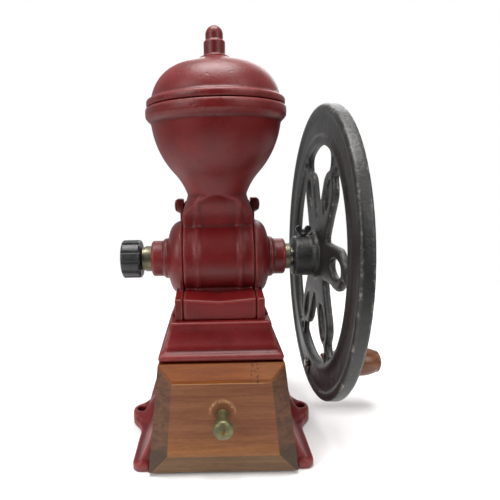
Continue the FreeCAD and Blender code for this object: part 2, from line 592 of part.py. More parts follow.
def housings():
    """The two end castings: rounded shoulder, ring and boss, foot strip and rear ear."""
    shell = turned_x("housing_shell", [
        (HOUSING_START, 0), (HOUSING_START, "drum_radius + band_height * 0.4"),
        (HOUSING_START + " + 1.4", "drum_radius + band_height * 0.4"),
        ("shoulder_reach - 1.5", "shoulder_radius + 6", "shoulder_reach - 3.9",
         "drum_radius - 3.4"),
        ("shoulder_reach", "shoulder_radius + 1", "shoulder_reach - 0.5", "shoulder_radius + 3"),
        ("shoulder_reach", "ring_radius"), ("shoulder_reach + ring_width - 0.6", "ring_radius"),
        ("shoulder_reach + ring_width", "ring_radius - 0.6"),
        ("shoulder_reach + ring_width", "boss_radius"), (BOSS_END + " - 1", "boss_radius"),
        (BOSS_END, "boss_radius - 1"), (BOSS_END, 0)])
    strip = pedestal("housing_strip", HOUSING_START, HOUSING_START + " + strip_width")
    web = block("housing_web_plate", (HOUSING_START, "-ledge_half_depth", BASE_TOP),
                (HOUSING_START + " + housing_web", "ledge_half_depth", AXIS))
    flank = plate_y("housing_flank", [
        (HOUSING_START, BASE_TOP), ("top_half_width - 0.2", BASE_TOP),
        (HOUSING_START + " + strip_width", BASE_TOP + " + pedestal_height * 0.8",
         "(top_half_width + split_half_width + strip_width) / 2 - 0.6",
         BASE_TOP + " + pedestal_height * 0.36"),
        (HOUSING_START, BASE_TOP + " + pedestal_height * 0.8")], "flank_half_depth")
    ear_z = AXIS + " + ear_rise - ear_depth / 2"
    arm = plate_x("ear_arm", [
        ("ear_setback - ear_depth * 0.5", ear_z), ("ear_setback - ear_depth * 0.7", AXIS),
        ("ear_setback + ear_depth * 0.3", AXIS), ("ear_setback + ear_depth * 0.5", ear_z)],
        HOUSING_START, HOUSING_START + " + ear_width * 0.55")
    head = bar_x("ear_head", "ear_depth / 2", HOUSING_START, HOUSING_START + " + ear_width",
                 "ear_setback", ear_z)
    cap = block("ear_cap", (HOUSING_START, "ear_setback - ear_depth / 2", ear_z),
                (HOUSING_START + " + ear_width", "ear_setback + ear_depth / 2",
                 AXIS + " + ear_rise"))
    stock = fuse("housing_stock", shell, strip, web, flank, arm, head, cap)
    inside = turned_x("housing_inside", [
        (HOUSING_START + " - 2", 0), (HOUSING_START + " - 2", "chamber_radius"),
        (HOUSING_START + " + 2", "chamber_radius"),
        ("shoulder_reach - 3.4", "shoulder_radius - 2", HOUSING_START + " + 6",
         "chamber_radius - 4"),
        ("shoulder_reach - 3.4", 0)])
    bore = bar_x("housing_bore_tool", "housing_bore", "shoulder_reach - 5", BOSS_END + " + 1")
    screws = [post("housing_screw_hole", radius + " + screw_gap", BASE_TOP + " - 1",
                   BASE_TOP + " + screw_bite", x, y)
              for radius, x, y in screw_places()[2:4]]
    ear_hole = bar_x("housing_ear_hole", "screw_radius + screw_gap", HOUSING_START + " - 1",
                     HOUSING_START + " + ear_width + 1", "ear_setback", ear_z)
    right = keep(cut("right_housing", stock, inside, bore, *screws, ear_hole), "right_housing")
    keep(mirror_x("left_housing", right), "left_housing")


def casting_screws():
    """Tie screws through the ears, and the upright screws from inside the base."""
    ear_z = AXIS + " + ear_rise - ear_depth / 2"
    start = HOUSING_START + " + ear_width"
    across, up = dome_middle("ear_head_radius", "ear_head_height * 0.5")
    right = turned_x("ear_screw", [
        ("split_half_width - screw_bite + 0.5", 0),
        ("split_half_width - screw_bite + 0.5", "screw_radius"), (start, "screw_radius"),
        (start, "ear_head_radius"), (start + " + ear_head_height * 0.5", "ear_head_radius"),
        (start + " + ear_head_height", 0, start + " + ear_head_height * 0.5 + " + up, across)],
        "ear_setback", ear_z)
    keep(group("ear_screws", right, mirror_x("ear_screw_left", right)), "ear_screws")
    plate = BASE_TOP + " - base_plate"
    upright = []
    for radius, x, y in screw_places():
        upright.append(turned_z("upright_screw", [
            (0, plate + " - screw_head_height"),
            (radius + " * 1.75", plate + " - screw_head_height"), (radius + " * 1.75", plate),
            (radius, plate), (radius, BASE_TOP + " + screw_bite - 0.5"),
            (0, BASE_TOP + " + screw_bite - 0.5")], x, y))
    keep(group("housing_screws", *upright[:4]), "housing_screws")
    keep(group("body_screws", *upright[4:]), "body_screws")


def lid():
    """The domed lid, its turned knob and the screw from below."""
    seat = HOPPER_TOP + " + lid_gap"
    plug = "rim_radius - hopper_wall - lid_plug_gap"
    peak = HOPPER_TOP + " + lid_peak_rise"
    shell = turned_z("hopper_lid", [
        ("screw_radius + screw_gap", peak), ("screw_radius + screw_gap", peak + " - 5"),
        ("lid_top_radius - 3", HOPPER_TOP + " + lid_top_rise - lid_wall - 1"),
        ("lid_dome_radius - lid_wall", HOPPER_TOP + " + lid_dome_rise - lid_wall",
         "(lid_top_radius + lid_dome_radius) / 2 - 1", HOPPER_TOP + " + lid_top_rise - 9.2"),
        (plug + " - lid_wall", HOPPER_TOP + " + lid_band - 1"),
        (plug + " - lid_wall", HOPPER_TOP + " - lid_plug_depth"),
        (plug, HOPPER_TOP + " - lid_plug_depth"), (plug, seat),
        ("lid_radius - 0.6", seat), ("lid_radius", seat + " + 0.6"),
        ("lid_radius", seat + " + lid_band - 1"),
        ("lid_radius - 1", seat + " + lid_band"), ("lid_radius - 3.4", seat + " + lid_band + 0.4"),
        ("lid_radius - 4.2", seat + " + lid_band + 2.2"),
        ("lid_top_radius", HOPPER_TOP + " + lid_top_rise", "lid_dome_radius - 0.6",
         HOPPER_TOP + " + lid_dome_rise"),
        ("lid_top_radius - 0.6", HOPPER_TOP + " + lid_top_rise - 1"),
        ("lid_top_radius - 1.2", HOPPER_TOP + " + lid_top_rise + 0.4"),
        ("knob_foot_radius", peak, "(lid_top_radius + knob_foot_radius) / 2",
         "(" + peak + " + " + HOPPER_TOP + " + lid_top_rise) / 2 - 0.7")])
    keep(shell, "hopper_lid")
    foot = peak + " + knob_foot_height"
    barrel = foot + " + knob_barrel_height"
    hole = peak + " + knob_barrel_height"
    across, up = dome_middle("knob_tip_radius", "knob_tip_height * 0.55")
    knob = turned_z("lid_knob", [
        (0, hole), ("screw_radius + screw_gap", hole), ("screw_radius + screw_gap", peak),
        ("knob_foot_radius", peak), ("knob_foot_radius - 0.4", peak + " + 0.9"),
        ("knob_barrel_radius", foot, "knob_barrel_radius + 1.2", peak + " + 1.4"),
        ("knob_barrel_radius", barrel + " - 1"), ("knob_barrel_radius - 1", barrel),
        ("knob_tip_radius", barrel), ("knob_tip_radius", barrel + " + knob_tip_height * 0.45"),
        (0, barrel + " + knob_tip_height", across,
         barrel + " + knob_tip_height * 0.45 + " + up)])
    keep(knob, "lid_knob")
    under = peak + " - 5"
    screw = turned_z("lid_knob_screw", [
        (0, under + " - screw_head_height"), ("screw_head", under + " - screw_head_height"),
        ("screw_head", under + " - 0.6"), ("screw_radius", under + " - 0.6"),
        ("screw_radius", hole + " - 0.5"), (0, hole + " - 0.5")])
    keep(screw, "lid_knob_screw")


def adjuster():
    """Fluted hand knob on a threaded rod that pushes the shaft through a steel ball."""
    knob = new_body("adjusting_knob", z=AXIS)
    left = "-knob_right - knob_length"
    turn(knob, "Revolution", outline(knob, "XZ", [
        (left, 0), (left, "knob_radius - 2.5"), (left + " + 1.6", "knob_radius", left + " + 0.5",
                                                 "knob_radius - 0.7"),
        ("-knob_right - 1.6", "knob_radius"),
        ("-knob_right", "knob_radius - 2.5", "-knob_right - 0.5", "knob_radius - 0.7"),
        ("-knob_right", "adjuster_radius + press_gap"),
        ("-adjuster_left", "adjuster_radius + press_gap"), ("-adjuster_left", 0)]), "H_Axis")
    flute = extrude(knob, "Pocket", ring(knob, "YZ", "flute_radius", 0, "knob_radius + 0.4",
                                         left + " - 1"), "knob_length + 2", reverse=True)
    pattern(knob, flute, "X", "knob_flutes")
    keep(knob, "adjusting_knob")

    end = "-shaft_left - 0.05"
    tip = "(" + end + " - ball_radius + 1)"
    seat = "(" + end + " - 2 * ball_radius - 0.05)"
    keep(turned_x("adjusting_screw", [
        ("-adjuster_left + 0.3", 0), ("-adjuster_left + 0.3", "adjuster_radius"),
        (tip, "adjuster_radius"), (tip, "ball_radius + running_gap"),
        (seat, "ball_radius + running_gap"), (seat, 0)]), "adjusting_screw")
    keep(turned_x("adjusting_bush", [
        ("-bush_collar_left", "adjuster_radius + running_gap"),
        ("-bush_collar_left", "bush_collar_radius - 0.5"),
        ("-bush_collar_left + 0.5", "bush_collar_radius"), ("-bush_left", "bush_collar_radius"),
        ("-bush_left", "bush_radius"), ("-bush_inner", "bush_radius"),
        ("-bush_inner", "adjuster_radius + running_gap")]), "adjusting_bush")
    ball = doc.addObject("Part::Sphere", "thrust_ball")
    bind(ball, Radius="ball_radius")
    place(ball, end + " - ball_radius", 0, AXIS)
    keep(ball, "thrust_ball")


def shaft_line():
    """Shaft, drive pin, bush and spring."""
    pin_x = "-pin_offset"
    stock = turned_x("shaft_stock", [
        ("-shaft_left", 0), ("-shaft_left", "shaft_radius - 0.6"),
        ("-shaft_left + 0.6", "shaft_radius"), ("shaft_right - 0.8", "shaft_radius"),
        ("shaft_right", "shaft_radius - 0.8"), ("shaft_right", 0)])
    pin_hole = post("shaft_pin_hole", "pin_radius + press_gap", AXIS + " - shaft_radius - 1",
                    AXIS + " + shaft_radius + 1", pin_x)
    flat = block("shaft_flat", ("thumb_screw_x - 5", "-shaft_radius", AXIS + " + shaft_radius - 1"),
                 ("thumb_screw_x + 5", "shaft_radius", AXIS + " + shaft_radius + 1"))
    keep(cut("main_shaft", stock, pin_hole, flat), "main_shaft")
    keep(post("burr_drive_pin", "pin_radius", AXIS + " - moving_hub_radius + 0.5",
              AXIS + " + moving_hub_radius - 0.5", pin_x), "burr_drive_pin")
    keep(turned_x("shaft_bush", [
        ("shaft_bush_inner", "shaft_radius + running_gap"), ("shaft_bush_inner", "bush_radius"),
        (BOSS_END, "bush_radius"), ("shaft_bush_right - 0.5", "bush_radius"),
        ("shaft_bush_right", "bush_radius - 0.5"),
        ("shaft_bush_right", "shaft_radius + running_gap")]), "shaft_bush")
    coil = helix_along_x("burr_spring", "spring_radius", "spring_wire",
                         "spring_left + spring_wire", "spring_right - spring_wire",
                         amount("spring_turns"))
    keep(coil, "burr_spring")


def helix_along_x(label, radius, wire, left, right, turns):
    """A round wire wound about the shaft, read from the sizes in the sheet."""
    low, high = amount(left), amount(right)
    coil = Part.makeHelix((high - low) / turns, high - low, amount(radius))
    section = Part.Wire(Part.makeCircle(amount(wire), FreeCAD.Vector(amount(radius), 0, 0),
                                        FreeCAD.Vector(0, 1, 0)))
    spring = doc.addObject("Part::Feature", label)
    spring.Shape = Part.Wire(coil.Edges).makePipeShell([section], True, True)
    spring.Placement = FreeCAD.Placement(FreeCAD.Vector(low, 0, amount(AXIS)),
                                         FreeCAD.Rotation(FreeCAD.Vector(0, 1, 0), 90))
    return spring


def auger():
    """The feed screw: a core on the shaft with one helical flight."""
    core = bar_x("auger_core_stock", "auger_core", "-auger_start - wall_thickness",
                 "spring_left - 0.1")
    low = amount("-auger_start - wall_thickness + auger_thread / 2 + 0.3")
    high = amount("-auger_start - wall_thickness + auger_length")
    path = Part.makeHelix(amount("auger_pitch"), high - low, amount("auger_core"))
    inner, outer = amount("auger_core - 1"), amount("auger_radius")
    half = amount("auger_thread") / 2
    section = Part.makePolygon([FreeCAD.Vector(inner, 0, -half), FreeCAD.Vector(outer, 0, -half * 0.6),
                                FreeCAD.Vector(outer, 0, half * 0.6), FreeCAD.Vector(inner, 0, half),
                                FreeCAD.Vector(inner, 0, -half)])
    flight = doc.addObject("Part::Feature", "auger_flight")
    flight.Shape = Part.Wire(path.Edges).makePipeShell([section], True, True)
    flight.Placement = FreeCAD.Placement(FreeCAD.Vector(low, 0, amount(AXIS)),
                                         FreeCAD.Rotation(FreeCAD.Vector(0, 1, 0), 90))
    bore = bar_x("auger_bore", "shaft_radius + press_gap", "-shaft_right", "shaft_right")
    keep(cut("feed_auger", fuse("auger_stock", core, flight), bore), "feed_auger")


def toothed_face(body, at_x, reverse):
    """Straight grinding grooves round the face at that distance along X."""
    groove = outline(body, "YZ", [
        ("-tooth_width / 2", "burr_eye + 1"), ("tooth_width / 2", "burr_eye + 1"),
        ("tooth_width", "burr_radius + 1"), ("-tooth_width", "burr_radius + 1")], at_x)
    pocket = extrude(body, "Pocket", groove, "tooth_depth", reverse=reverse)
    pattern(body, pocket, "X", "tooth_count")


def burrs():
    """The fixed burr with its screws, and the burr that turns with the shaft."""
    fixed = new_body("fixed_burr_stock", z=AXIS)
    face = "-wall_face - fixed_burr_thickness"
    turn(fixed, "Revolution", outline(fixed, "XZ", [
        ("-wall_face", "burr_eye"), ("-wall_face", "burr_radius"), (face, "burr_radius"),
        (face, "burr_eye")]), "H_Axis")
    toothed_face(fixed, face, True)
    holes, screws = [], []
    for y, z in burr_screw_places():
        head = face + " + tooth_depth + 0.4"
        holes.append(turned_x("burr_hole", [
            (face + " - 1", 0), (face + " - 1", "small_screw * 1.9 + screw_gap"),
            (head + " + 0.5", "small_screw * 1.9 + screw_gap"),
            (head + " + 2.4", "small_screw + screw_gap"),
            ("-wall_face + 1", "small_screw + screw_gap"), ("-wall_face + 1", 0)], y, z))
        screws.append(turned_x("burr_screw", [
            (head, 0), (head, "small_screw * 1.9"), (head + " + 0.5", "small_screw * 1.9"),
            (head + " + 2.4", "small_screw"), ("-wall_face + wall_thickness - 0.4", "small_screw"),
            ("-wall_face + wall_thickness - 0.4", 0)], y, z))
    keep(cut("fixed_burr", fixed, *holes), "fixed_burr")
    keep(group("fixed_burr_screws", *screws), "fixed_burr_screws")

    moving = new_body("moving_burr_stock", z=AXIS)
    near = minus(MOVING_FACE)
    back = near + " - moving_burr_thickness"
    turn(moving, "Revolution", outline(moving, "XZ", [
        (near, "shaft_radius + press_gap"), (near, "burr_radius"), (back, "burr_radius"),
        (back + " - 0.01", "moving_hub_radius"),
        (back + " - moving_hub_length + 0.4", "moving_hub_radius"),
        (back + " - moving_hub_length + 0.4", "shaft_radius + press_gap")]), "H_Axis")
    toothed_face(moving, near, False)
    pin_hole = post("burr_pin_hole", "pin_radius + press_gap", AXIS + " - moving_hub_radius - 2",
                    AXIS + " + moving_hub_radius + 2", "-pin_offset")
    keep(cut("moving_burr", moving, pin_hole), "moving_burr")


def spoke_plate(name, corners_lists, turned_by):
    """A disc inside the rim with a ring of equal openings cut through it."""
    plate = new_body(name, z=AXIS)
    plate.Placement.Rotation = FreeCAD.Rotation(FreeCAD.Vector(1, 0, 0), 90)
    bind(plate, Placement__Rotation__Angle=turned_by)
    eye = "(wheel_radius - lip_width - web_width - wheel_bead_width)"
    start = "wheel_inner_face + web_recess"
    extrude(plate, "Pad", ring(plate, "YZ", eye + " + 1", 0, 0, start),
            "wheel_width - 2 * web_recess")
    for corners in corners_lists:
        opening = extrude(plate, "Pocket", outline(plate, "YZ", corners, start + " - 1"),
                          "wheel_width", reverse=True)
        pattern(plate, opening, "X", "petal_count")
    return plate


def flywheel():
    """Rim with lip, hollowed web and inner bead, six oval petals and a long hub."""
    inner, outer = "wheel_inner_face", HUB_RIGHT
    lip, web = "wheel_radius - lip_width", "wheel_radius - lip_width - web_width"
    eye = "(wheel_radius - lip_width - web_width - wheel_bead_width)"
    rim = turned_x("wheel_rim", [
        (inner + " + 1", "wheel_radius"), (inner, "wheel_radius - 1"), (inner, lip),
        (inner + " + web_recess", lip + " - 1.5"), (inner + " + web_recess", web + " + 1.5"),
        (inner + " + wheel_bead_recess", web),
        (inner + " + wheel_bead_recess + 2.4", eye, inner + " + wheel_bead_recess + 0.3",
         eye + " + 1.8"),
        (outer + " - wheel_bead_recess - 2.4", eye),
        (outer + " - wheel_bead_recess", web, outer + " - wheel_bead_recess - 0.3",
         eye + " + 1.8"),
        (outer + " - web_recess", web + " + 1.5"), (outer + " - web_recess", lip + " - 1.5"),
        (outer, lip), (outer, "wheel_radius - 1"), (outer + " - 1", "wheel_radius")])
    petal_start = "hub_flange_radius + petal_root"
    petal_end = eye + " - petal_tip_gap"
    middle = "-(" + petal_start + " + " + petal_end + ") / 2 - 1"
    petal = [
        (minus(petal_end) + " + 1.8", "petal_half_width * 0.52", minus(petal_end), 0),
        (minus(petal_start) + " - 1.2", "petal_half_width * 0.27", middle, "petal_half_width"),
        (minus(petal_start) + " - 1.2", "-petal_half_width * 0.27", minus(petal_start), 0),
        (minus(petal_end) + " + 1.8", "-petal_half_width * 0.52", middle, "-petal_half_width")]
    notch = [
        (minus(eye) + " + notch_depth", 0), (minus(eye) + " + 1.2", "notch_half_width"),
        (minus(eye) + " + 1.2", "-notch_half_width", minus(eye) + " + 1", 0)]
    root = "-(hub_flange_radius + gap_root)"
    length = "(" + eye + " - hub_flange_radius - gap_root)"
    step = "(180 / petal_count * 1 deg)"
    wide = ("(((hub_flange_radius + gap_root + " + length + " * 0.643) * sin" + step
            + " - spoke_neck) / cos" + step + ")")
    gap = [
        (root + " - 1.5", wide + " * 0.04", root, 0),
        (root + " - " + length + " * 0.478", wide + " * 0.476",
         root + " - " + length + " * 0.247", wide + " * 0.269"),
        (root + " - " + length + " * 0.643", wide,
         root + " - " + length + " * 0.617", wide + " * 0.716"),
        (minus(eye) + " + gap_corner", wide + " * 1.065",
         root + " - " + length + " * 0.757", wide + " * 1.071"),
        (minus(eye) + " + gap_corner", minus(wide) + " * 1.065", minus(eye) + " + 0.8", 0),
        (root + " - " + length + " * 0.643", minus(wide),
         root + " - " + length + " * 0.757", minus(wide) + " * 1.071"),
        (root + " - " + length + " * 0.478", minus(wide) + " * 0.476",
         root + " - " + length + " * 0.617", minus(wide) + " * 0.716"),
        (root + " - 1.5", minus(wide) + " * 0.04",
         root + " - " + length + " * 0.247", minus(wide) + " * 0.269")]
    spokes = common("wheel_spokes", spoke_plate("petal_plate", [petal, notch], "0.001 deg"),
                    spoke_plate("gap_plate", [gap], "(180 / petal_count) * 1 deg"))
    hub = turned_x("wheel_hub", [
        ("hub_left", 0), ("hub_left", "hub_radius - 1.5"), ("hub_left + 1.5", "hub_radius"),
        (inner + " - 3.5", "hub_radius"), (inner + " - 2", "hub_flange_radius"),
        (inner + " + 3", "hub_flange_radius"), (outer + " - 2", "hub_flange_radius"),
        (outer, "hub_flange_radius - 2"), (outer, 0)])
    boss = bar_x("crank_boss", "crank_boss_radius", inner + " + wheel_bead_recess",
                 outer + " - wheel_bead_recess", CRANK_Y, CRANK_Z)
    lump = doc.addObject("Part::Sphere", "hub_lump")
    bind(lump, Radius="hub_lump_radius")
    place(lump, "hub_lump_x", 0, AXIS + " + hub_radius + 1")
    stock = fuse("flywheel_stock", rim, spokes, hub, boss, lump)
    shaft_hole = bar_x("wheel_bore", "shaft_radius + press_gap", "hub_left - 1", outer + " + 1")
    crank_hole = bar_x("crank_hole", "handle_bolt_radius + press_gap", inner + " - 2",
                       outer + " + 2", CRANK_Y, CRANK_Z)
    screw_hole = post("thumb_hole", "thumb_screw_radius + running_gap", AXIS,
                      AXIS + " + hub_radius + 1", "thumb_screw_x")
    keep(cut("flywheel", stock, shaft_hole, crank_hole, screw_hole), "flywheel")


def thumb_screw():
    """Winged screw that grips the flat on the shaft."""
    top = AXIS + " + hub_radius"
    stem = turned_z("thumb_stem", [
        (0, AXIS + " + shaft_radius - 0.95"), ("thumb_screw_radius - 0.6", AXIS
                                               + " + shaft_radius - 0.95"),
        ("thumb_screw_radius", AXIS + " + shaft_radius - 0.35"),
        ("thumb_screw_radius", top + " + thumb_head_rise * 0.4"),
        ("thumb_screw_radius + 1.2", top + " + thumb_head_rise * 0.4"),
        ("thumb_screw_radius + 1.2", top + " + thumb_head_rise"),
        ("thumb_screw_radius", top + " + thumb_head_rise + 1.6"),
        (0, top + " + thumb_head_rise + 1.6")], "thumb_screw_x")
    wings = new_body("thumb_wings", "thumb_screw_x", 0, top + " + thumb_head_rise")
    tip = "wing_height"
    extrude(wings, "Pad", outline(wings, "XZ", mirrored_outline([
        ("wing_thickness * 0.5", 0),
        ("wing_span / 2", "wing_height * 0.5", "wing_span * 0.36", "wing_height * 0.14"),
        ("wing_span * 0.26", tip, "wing_span * 0.46", "wing_height * 0.9"),
        ("wing_span * 0.1", "wing_height * 0.42", "wing_span * 0.12", "wing_height * 0.7")])),
        "wing_thickness", both=True)
    keep(fuse("thumb_screw", stem, wings), "thumb_screw")


def crank_handle():
    """Turned wooden grip that spins on a long bolt through the wheel's web."""
    start = ("(" + HUB_RIGHT
             + " - wheel_bead_recess + handle_nut_height + washer_thickness + grip_gap)")
    end = start + " + grip_length"
    bore = "handle_bolt_radius + running_gap"
    head = end + " + 0.3"
    across, up = dome_middle("handle_head_radius", "handle_head_height * 0.6")
    keep(turned_x("handle_grip", [
        (start, bore), (start, "grip_neck_radius - 0.8"), (start + " + 0.8", "grip_neck_radius"),
        (start + " + grip_length * 0.12", "grip_neck_radius"),
        (start + " + grip_length * 0.6", "grip_belly_radius", start + " + grip_length * 0.34",
         "grip_belly_radius - 1.3"),
        (end + " - 3", "grip_end_radius + 0.6", start + " + grip_length * 0.82",
         "grip_belly_radius - 0.8"),
        (end, "grip_end_radius - 2", end + " - 0.6", "grip_end_radius - 0.2"), (end, bore)],
        CRANK_Y, CRANK_Z), "handle_grip")
    keep(turned_x("handle_bolt", [
        ("wheel_inner_face - bolt_end_stand", 0),
        ("wheel_inner_face - bolt_end_stand", "handle_bolt_radius - 0.5"),
        ("wheel_inner_face - bolt_end_stand + 0.5", "handle_bolt_radius"),
        (head, "handle_bolt_radius"), (head, "handle_head_radius"),
        (head + " + handle_head_height * 0.4", "handle_head_radius"),
        (head + " + handle_head_height", 0, head + " + handle_head_height * 0.4 + " + up,
         across)], CRANK_Y, CRANK_Z), "handle_bolt")
    near = "(" + HUB_RIGHT + " - wheel_bead_recess)"
    outer = near + " + handle_nut_height"
    keep(bar_x("handle_washer", "handle_washer_radius", outer, outer + " + washer_thickness",
               CRANK_Y, CRANK_Z, "handle_bolt_radius + press_gap"), "handle_washer")
    nut = new_body("handle_nut", 0, CRANK_Y, CRANK_Z)
    half = "handle_nut_radius * cos(30 deg)"
    hexagon = [("handle_nut_radius", 0), ("handle_nut_radius / 2", half),
               ("-handle_nut_radius / 2", half), ("-handle_nut_radius", 0),
               ("-handle_nut_radius / 2", minus(half)), ("handle_nut_radius / 2", minus(half))]
    extrude(nut, "Pad", outline(nut, "YZ", hexagon, near), "handle_nut_height")
    extrude(nut, "Pocket", ring(nut, "YZ", "handle_bolt_radius + press_gap", 0, 0,
                                near + " - 1"), "handle_nut_height + 2", reverse=True)
    keep(nut, "handle_nut")


def lean_plane(height, gap):
    """Y of the leaning front at a height, moved forward by the gap."""
    return ("-(shoulder_half_depth + " + str(gap) + " + (shoulder_height - (" + str(height)
            + ")) * " + LEAN + ")")


def drawer():
    """Wooden tray behind a raised panel, with its brass knob, screw and nails."""
    panel = new_body("panel_stock", 0, "-shoulder_half_depth - panel_gap", "shoulder_height")
    panel.Placement.Rotation = FreeCAD.Rotation(FreeCAD.Vector(-1, 0, 0), 10)
    bind(panel, Placement__Rotation__Angle="atan(" + LEAN + ")")
    slant = " / cos(atan(" + LEAN + "))"
    top = "-panel_top_drop" + slant
    bottom = "-(shoulder_height - panel_foot)" + slant
    edge = mirrored_outline([("panel_bottom_half_width", bottom), ("panel_top_half_width", top)])
    field = mirrored_outline([
        ("field_bottom_half_width", "-(shoulder_height - field_bottom)" + slant),
        ("field_top_half_width", "-(shoulder_height - field_top)" + slant)])
    extrude(panel, "Pad", outline(panel, "XZ", edge), "panel_edge")
    loft = panel.newObject("PartDesign::AdditiveLoft", "panel_bevel")
    loft.Profile = outline(panel, "XZ", edge, "panel_edge")
    loft.Sections = [outline(panel, "XZ", field, "panel_edge + panel_raise")]
    loft.Ruled = True
    screw_hole = along_y("panel_screw_hole", "drawer_screw_radius + screw_gap",
                         "-foot_half_depth - 60", "-shoulder_half_depth",
                         "drawer_knob_height")
    keep(cut("drawer_front", panel, screw_hole), "drawer_front")

    floor, rim = TRAY_FLOOR, TRAY_FLOOR + " + tray_height"
    inside = "tray_half_width - tray_wall"
    side_corners = [("tray_back", floor), ("tray_back", rim),
                    (lean_plane(rim, "panel_gap - 0.02"), rim),
                    (lean_plane(floor, "panel_gap - 0.02"), floor)]
    nail_y = "tray_back - tray_wall / 2"
    heights = [floor + " + tray_height * " + str(share) for share in (0.25, 0.55, 0.85)]
    boards, nails = {}, []
    for side, low, high in (("left", "-tray_half_width", minus(inside)),
                            ("right", inside, "tray_half_width")):
        holes = [bar_x("nail_hole", "nail_radius + press_gap", low + " - 1", high + " + 1",
                       nail_y, height) for height in heights]
        boards[side] = cut("drawer_" + side + "_side",
                           plate_x("side_stock", side_corners, low, high), *holes)
        keep(boards[side], "drawer_" + side + "_side")
    reach = "tray_half_width - nail_length"
    back = block("back_stock", (minus(inside), "tray_back - tray_wall", floor + " + 1"),
                 (inside, "tray_back", rim))
    holes = []
    for height in heights:
        for low, high in ((minus("tray_half_width"), minus(reach)), (reach, "tray_half_width")):
            nails.append(bar_x("nail", "nail_radius", low, high, nail_y, height))
            holes.append(bar_x("nail_hole", "nail_radius + press_gap", low, high, nail_y, height))
    keep(cut("drawer_back", back, *holes), "drawer_back")
    keep(group("drawer_nails", *nails), "drawer_nails")
    bottom_top = floor + " + 1 + tray_bottom"
    keep(block("drawer_bottom", (minus(inside), lean_plane(bottom_top, "panel_gap - 0.02"),
                                 floor + " + 1"),
               (inside, "tray_back - tray_wall", bottom_top)), "drawer_bottom")

    root = lean_plane("drawer_knob_height - 4.6", "panel_gap + (panel_edge + panel_raise)" + slant)
    across, up = dome_middle("drawer_knob_radius - 0.5", "drawer_knob_length * 0.1")
    profile = [(0, 4.6), (2, 4.2), ("drawer_knob_length * 0.42", "drawer_knob_neck"),
               ("drawer_knob_length * 0.62", "drawer_knob_neck + 0.5"),
               ("drawer_knob_length * 0.76", "drawer_knob_radius",
                "drawer_knob_length * 0.67", "drawer_knob_radius - 0.7"),
               ("drawer_knob_length * 0.9", "drawer_knob_radius - 0.5",
                "drawer_knob_length * 0.83", "drawer_knob_radius + 0.15"),
               ("drawer_knob_length", 0, "drawer_knob_length * 0.9 + " + up, across),
               (9, 0), (9, "drawer_screw_radius + screw_gap"),
               (0, "drawer_screw_radius + screw_gap")]
    knob = new_body("drawer_knob", 0, root, "drawer_knob_height")
    knob.Placement.Rotation = FreeCAD.Rotation(FreeCAD.Vector(0, 0, 1), -90)
    turn(knob, "Revolution", outline(knob, "XZ", profile), "H_Axis")
    keep(knob, "drawer_knob")
    seat = lean_plane("drawer_knob_height + drawer_screw_head", "panel_gap - 0.05")
    shank_end = root + " - 8.5"
    head = along_y("knob_screw_head", "drawer_screw_head", seat, seat + " + 2.4",
                   "drawer_knob_height")
    shank = along_y("knob_screw_shank", "drawer_screw_radius", shank_end, seat,
                    "drawer_knob_height")
    keep(fuse("drawer_knob_screw", head, shank), "drawer_knob_screw")


def along_y(name, radius, low, high, height):
    """A round bar along Y on the middle plane at a height."""
    rod = doc.addObject("Part::Cylinder", name)
    bind(rod, Radius=radius, Height="(" + high + ") - (" + low + ")")
    rod.Placement.Rotation = FreeCAD.Rotation(FreeCAD.Vector(1, 0, 0), -90)
    return place(rod, 0, low, height)


def check_and_write():
    """Every object sound, every cut real, then one STEP file for each sub-part."""
    doc.recompute()
    for thing in doc.Objects:
        if "Invalid" in thing.State or "Error" in thing.State:
            raise RuntimeError("failed: " + thing.Name + " " + str(thing.State))
        if thing.TypeId == "PartDesign::Pocket":
            removed = thing.BaseFeature.Shape.Volume - thing.Shape.Volume
            if removed < 0.01:
                raise RuntimeError("cuts nothing: " + thing.Name)
    os.makedirs("parts", exist_ok=True)
    for node in nodes:
        shape = node.Shape
        if shape.isNull() or not shape.isValid():
            raise RuntimeError("unsound shape: " + node.Label)
        shape.exportStep("parts/" + node.Label + ".step")
        box = shape.BoundBox
        print(node.Label.ljust(20), len(shape.Solids), "solids",
              round(shape.Volume / 1000, 2), "cm3",
              [round(v, 1) for v in (box.XMin, box.XMax, box.YMin, box.YMax, box.ZMin, box.ZMax)])


base_casting()
mill_casting()
housings()
casting_screws()
lid()
adjuster()
shaft_line()
auger()
burrs()
flywheel()
thumb_screw()
crank_handle()
drawer()
check_and_write()
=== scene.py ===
import math
import bmesh
import bpy
import numpy as np
from mathutils import Matrix, Vector


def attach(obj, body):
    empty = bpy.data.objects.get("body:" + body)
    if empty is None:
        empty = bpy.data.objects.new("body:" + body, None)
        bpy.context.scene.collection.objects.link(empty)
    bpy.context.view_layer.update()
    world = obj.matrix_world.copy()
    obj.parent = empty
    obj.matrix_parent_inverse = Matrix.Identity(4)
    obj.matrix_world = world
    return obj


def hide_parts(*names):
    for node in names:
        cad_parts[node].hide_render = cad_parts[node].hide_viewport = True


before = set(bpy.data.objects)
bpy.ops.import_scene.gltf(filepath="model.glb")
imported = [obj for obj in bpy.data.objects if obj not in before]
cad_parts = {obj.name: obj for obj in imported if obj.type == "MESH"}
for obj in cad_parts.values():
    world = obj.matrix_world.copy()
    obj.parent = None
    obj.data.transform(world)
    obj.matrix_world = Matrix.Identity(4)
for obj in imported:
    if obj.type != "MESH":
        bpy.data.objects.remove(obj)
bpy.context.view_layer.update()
scene = bpy.context.scene

# ---------------------------------------------------------------------------------------------
# Base casting. A grey-iron box, open at the front for the drawer, sprayed satin red. It is cast
# in sand, so every corner is round and the paint lies over a slightly lumpy skin.
# ---------------------------------------------------------------------------------------------
WELD_REACH = 2e-6
MASK_ROUNDS, MASK_GAIN = 3, 22
BASE_GRID = 0.0013


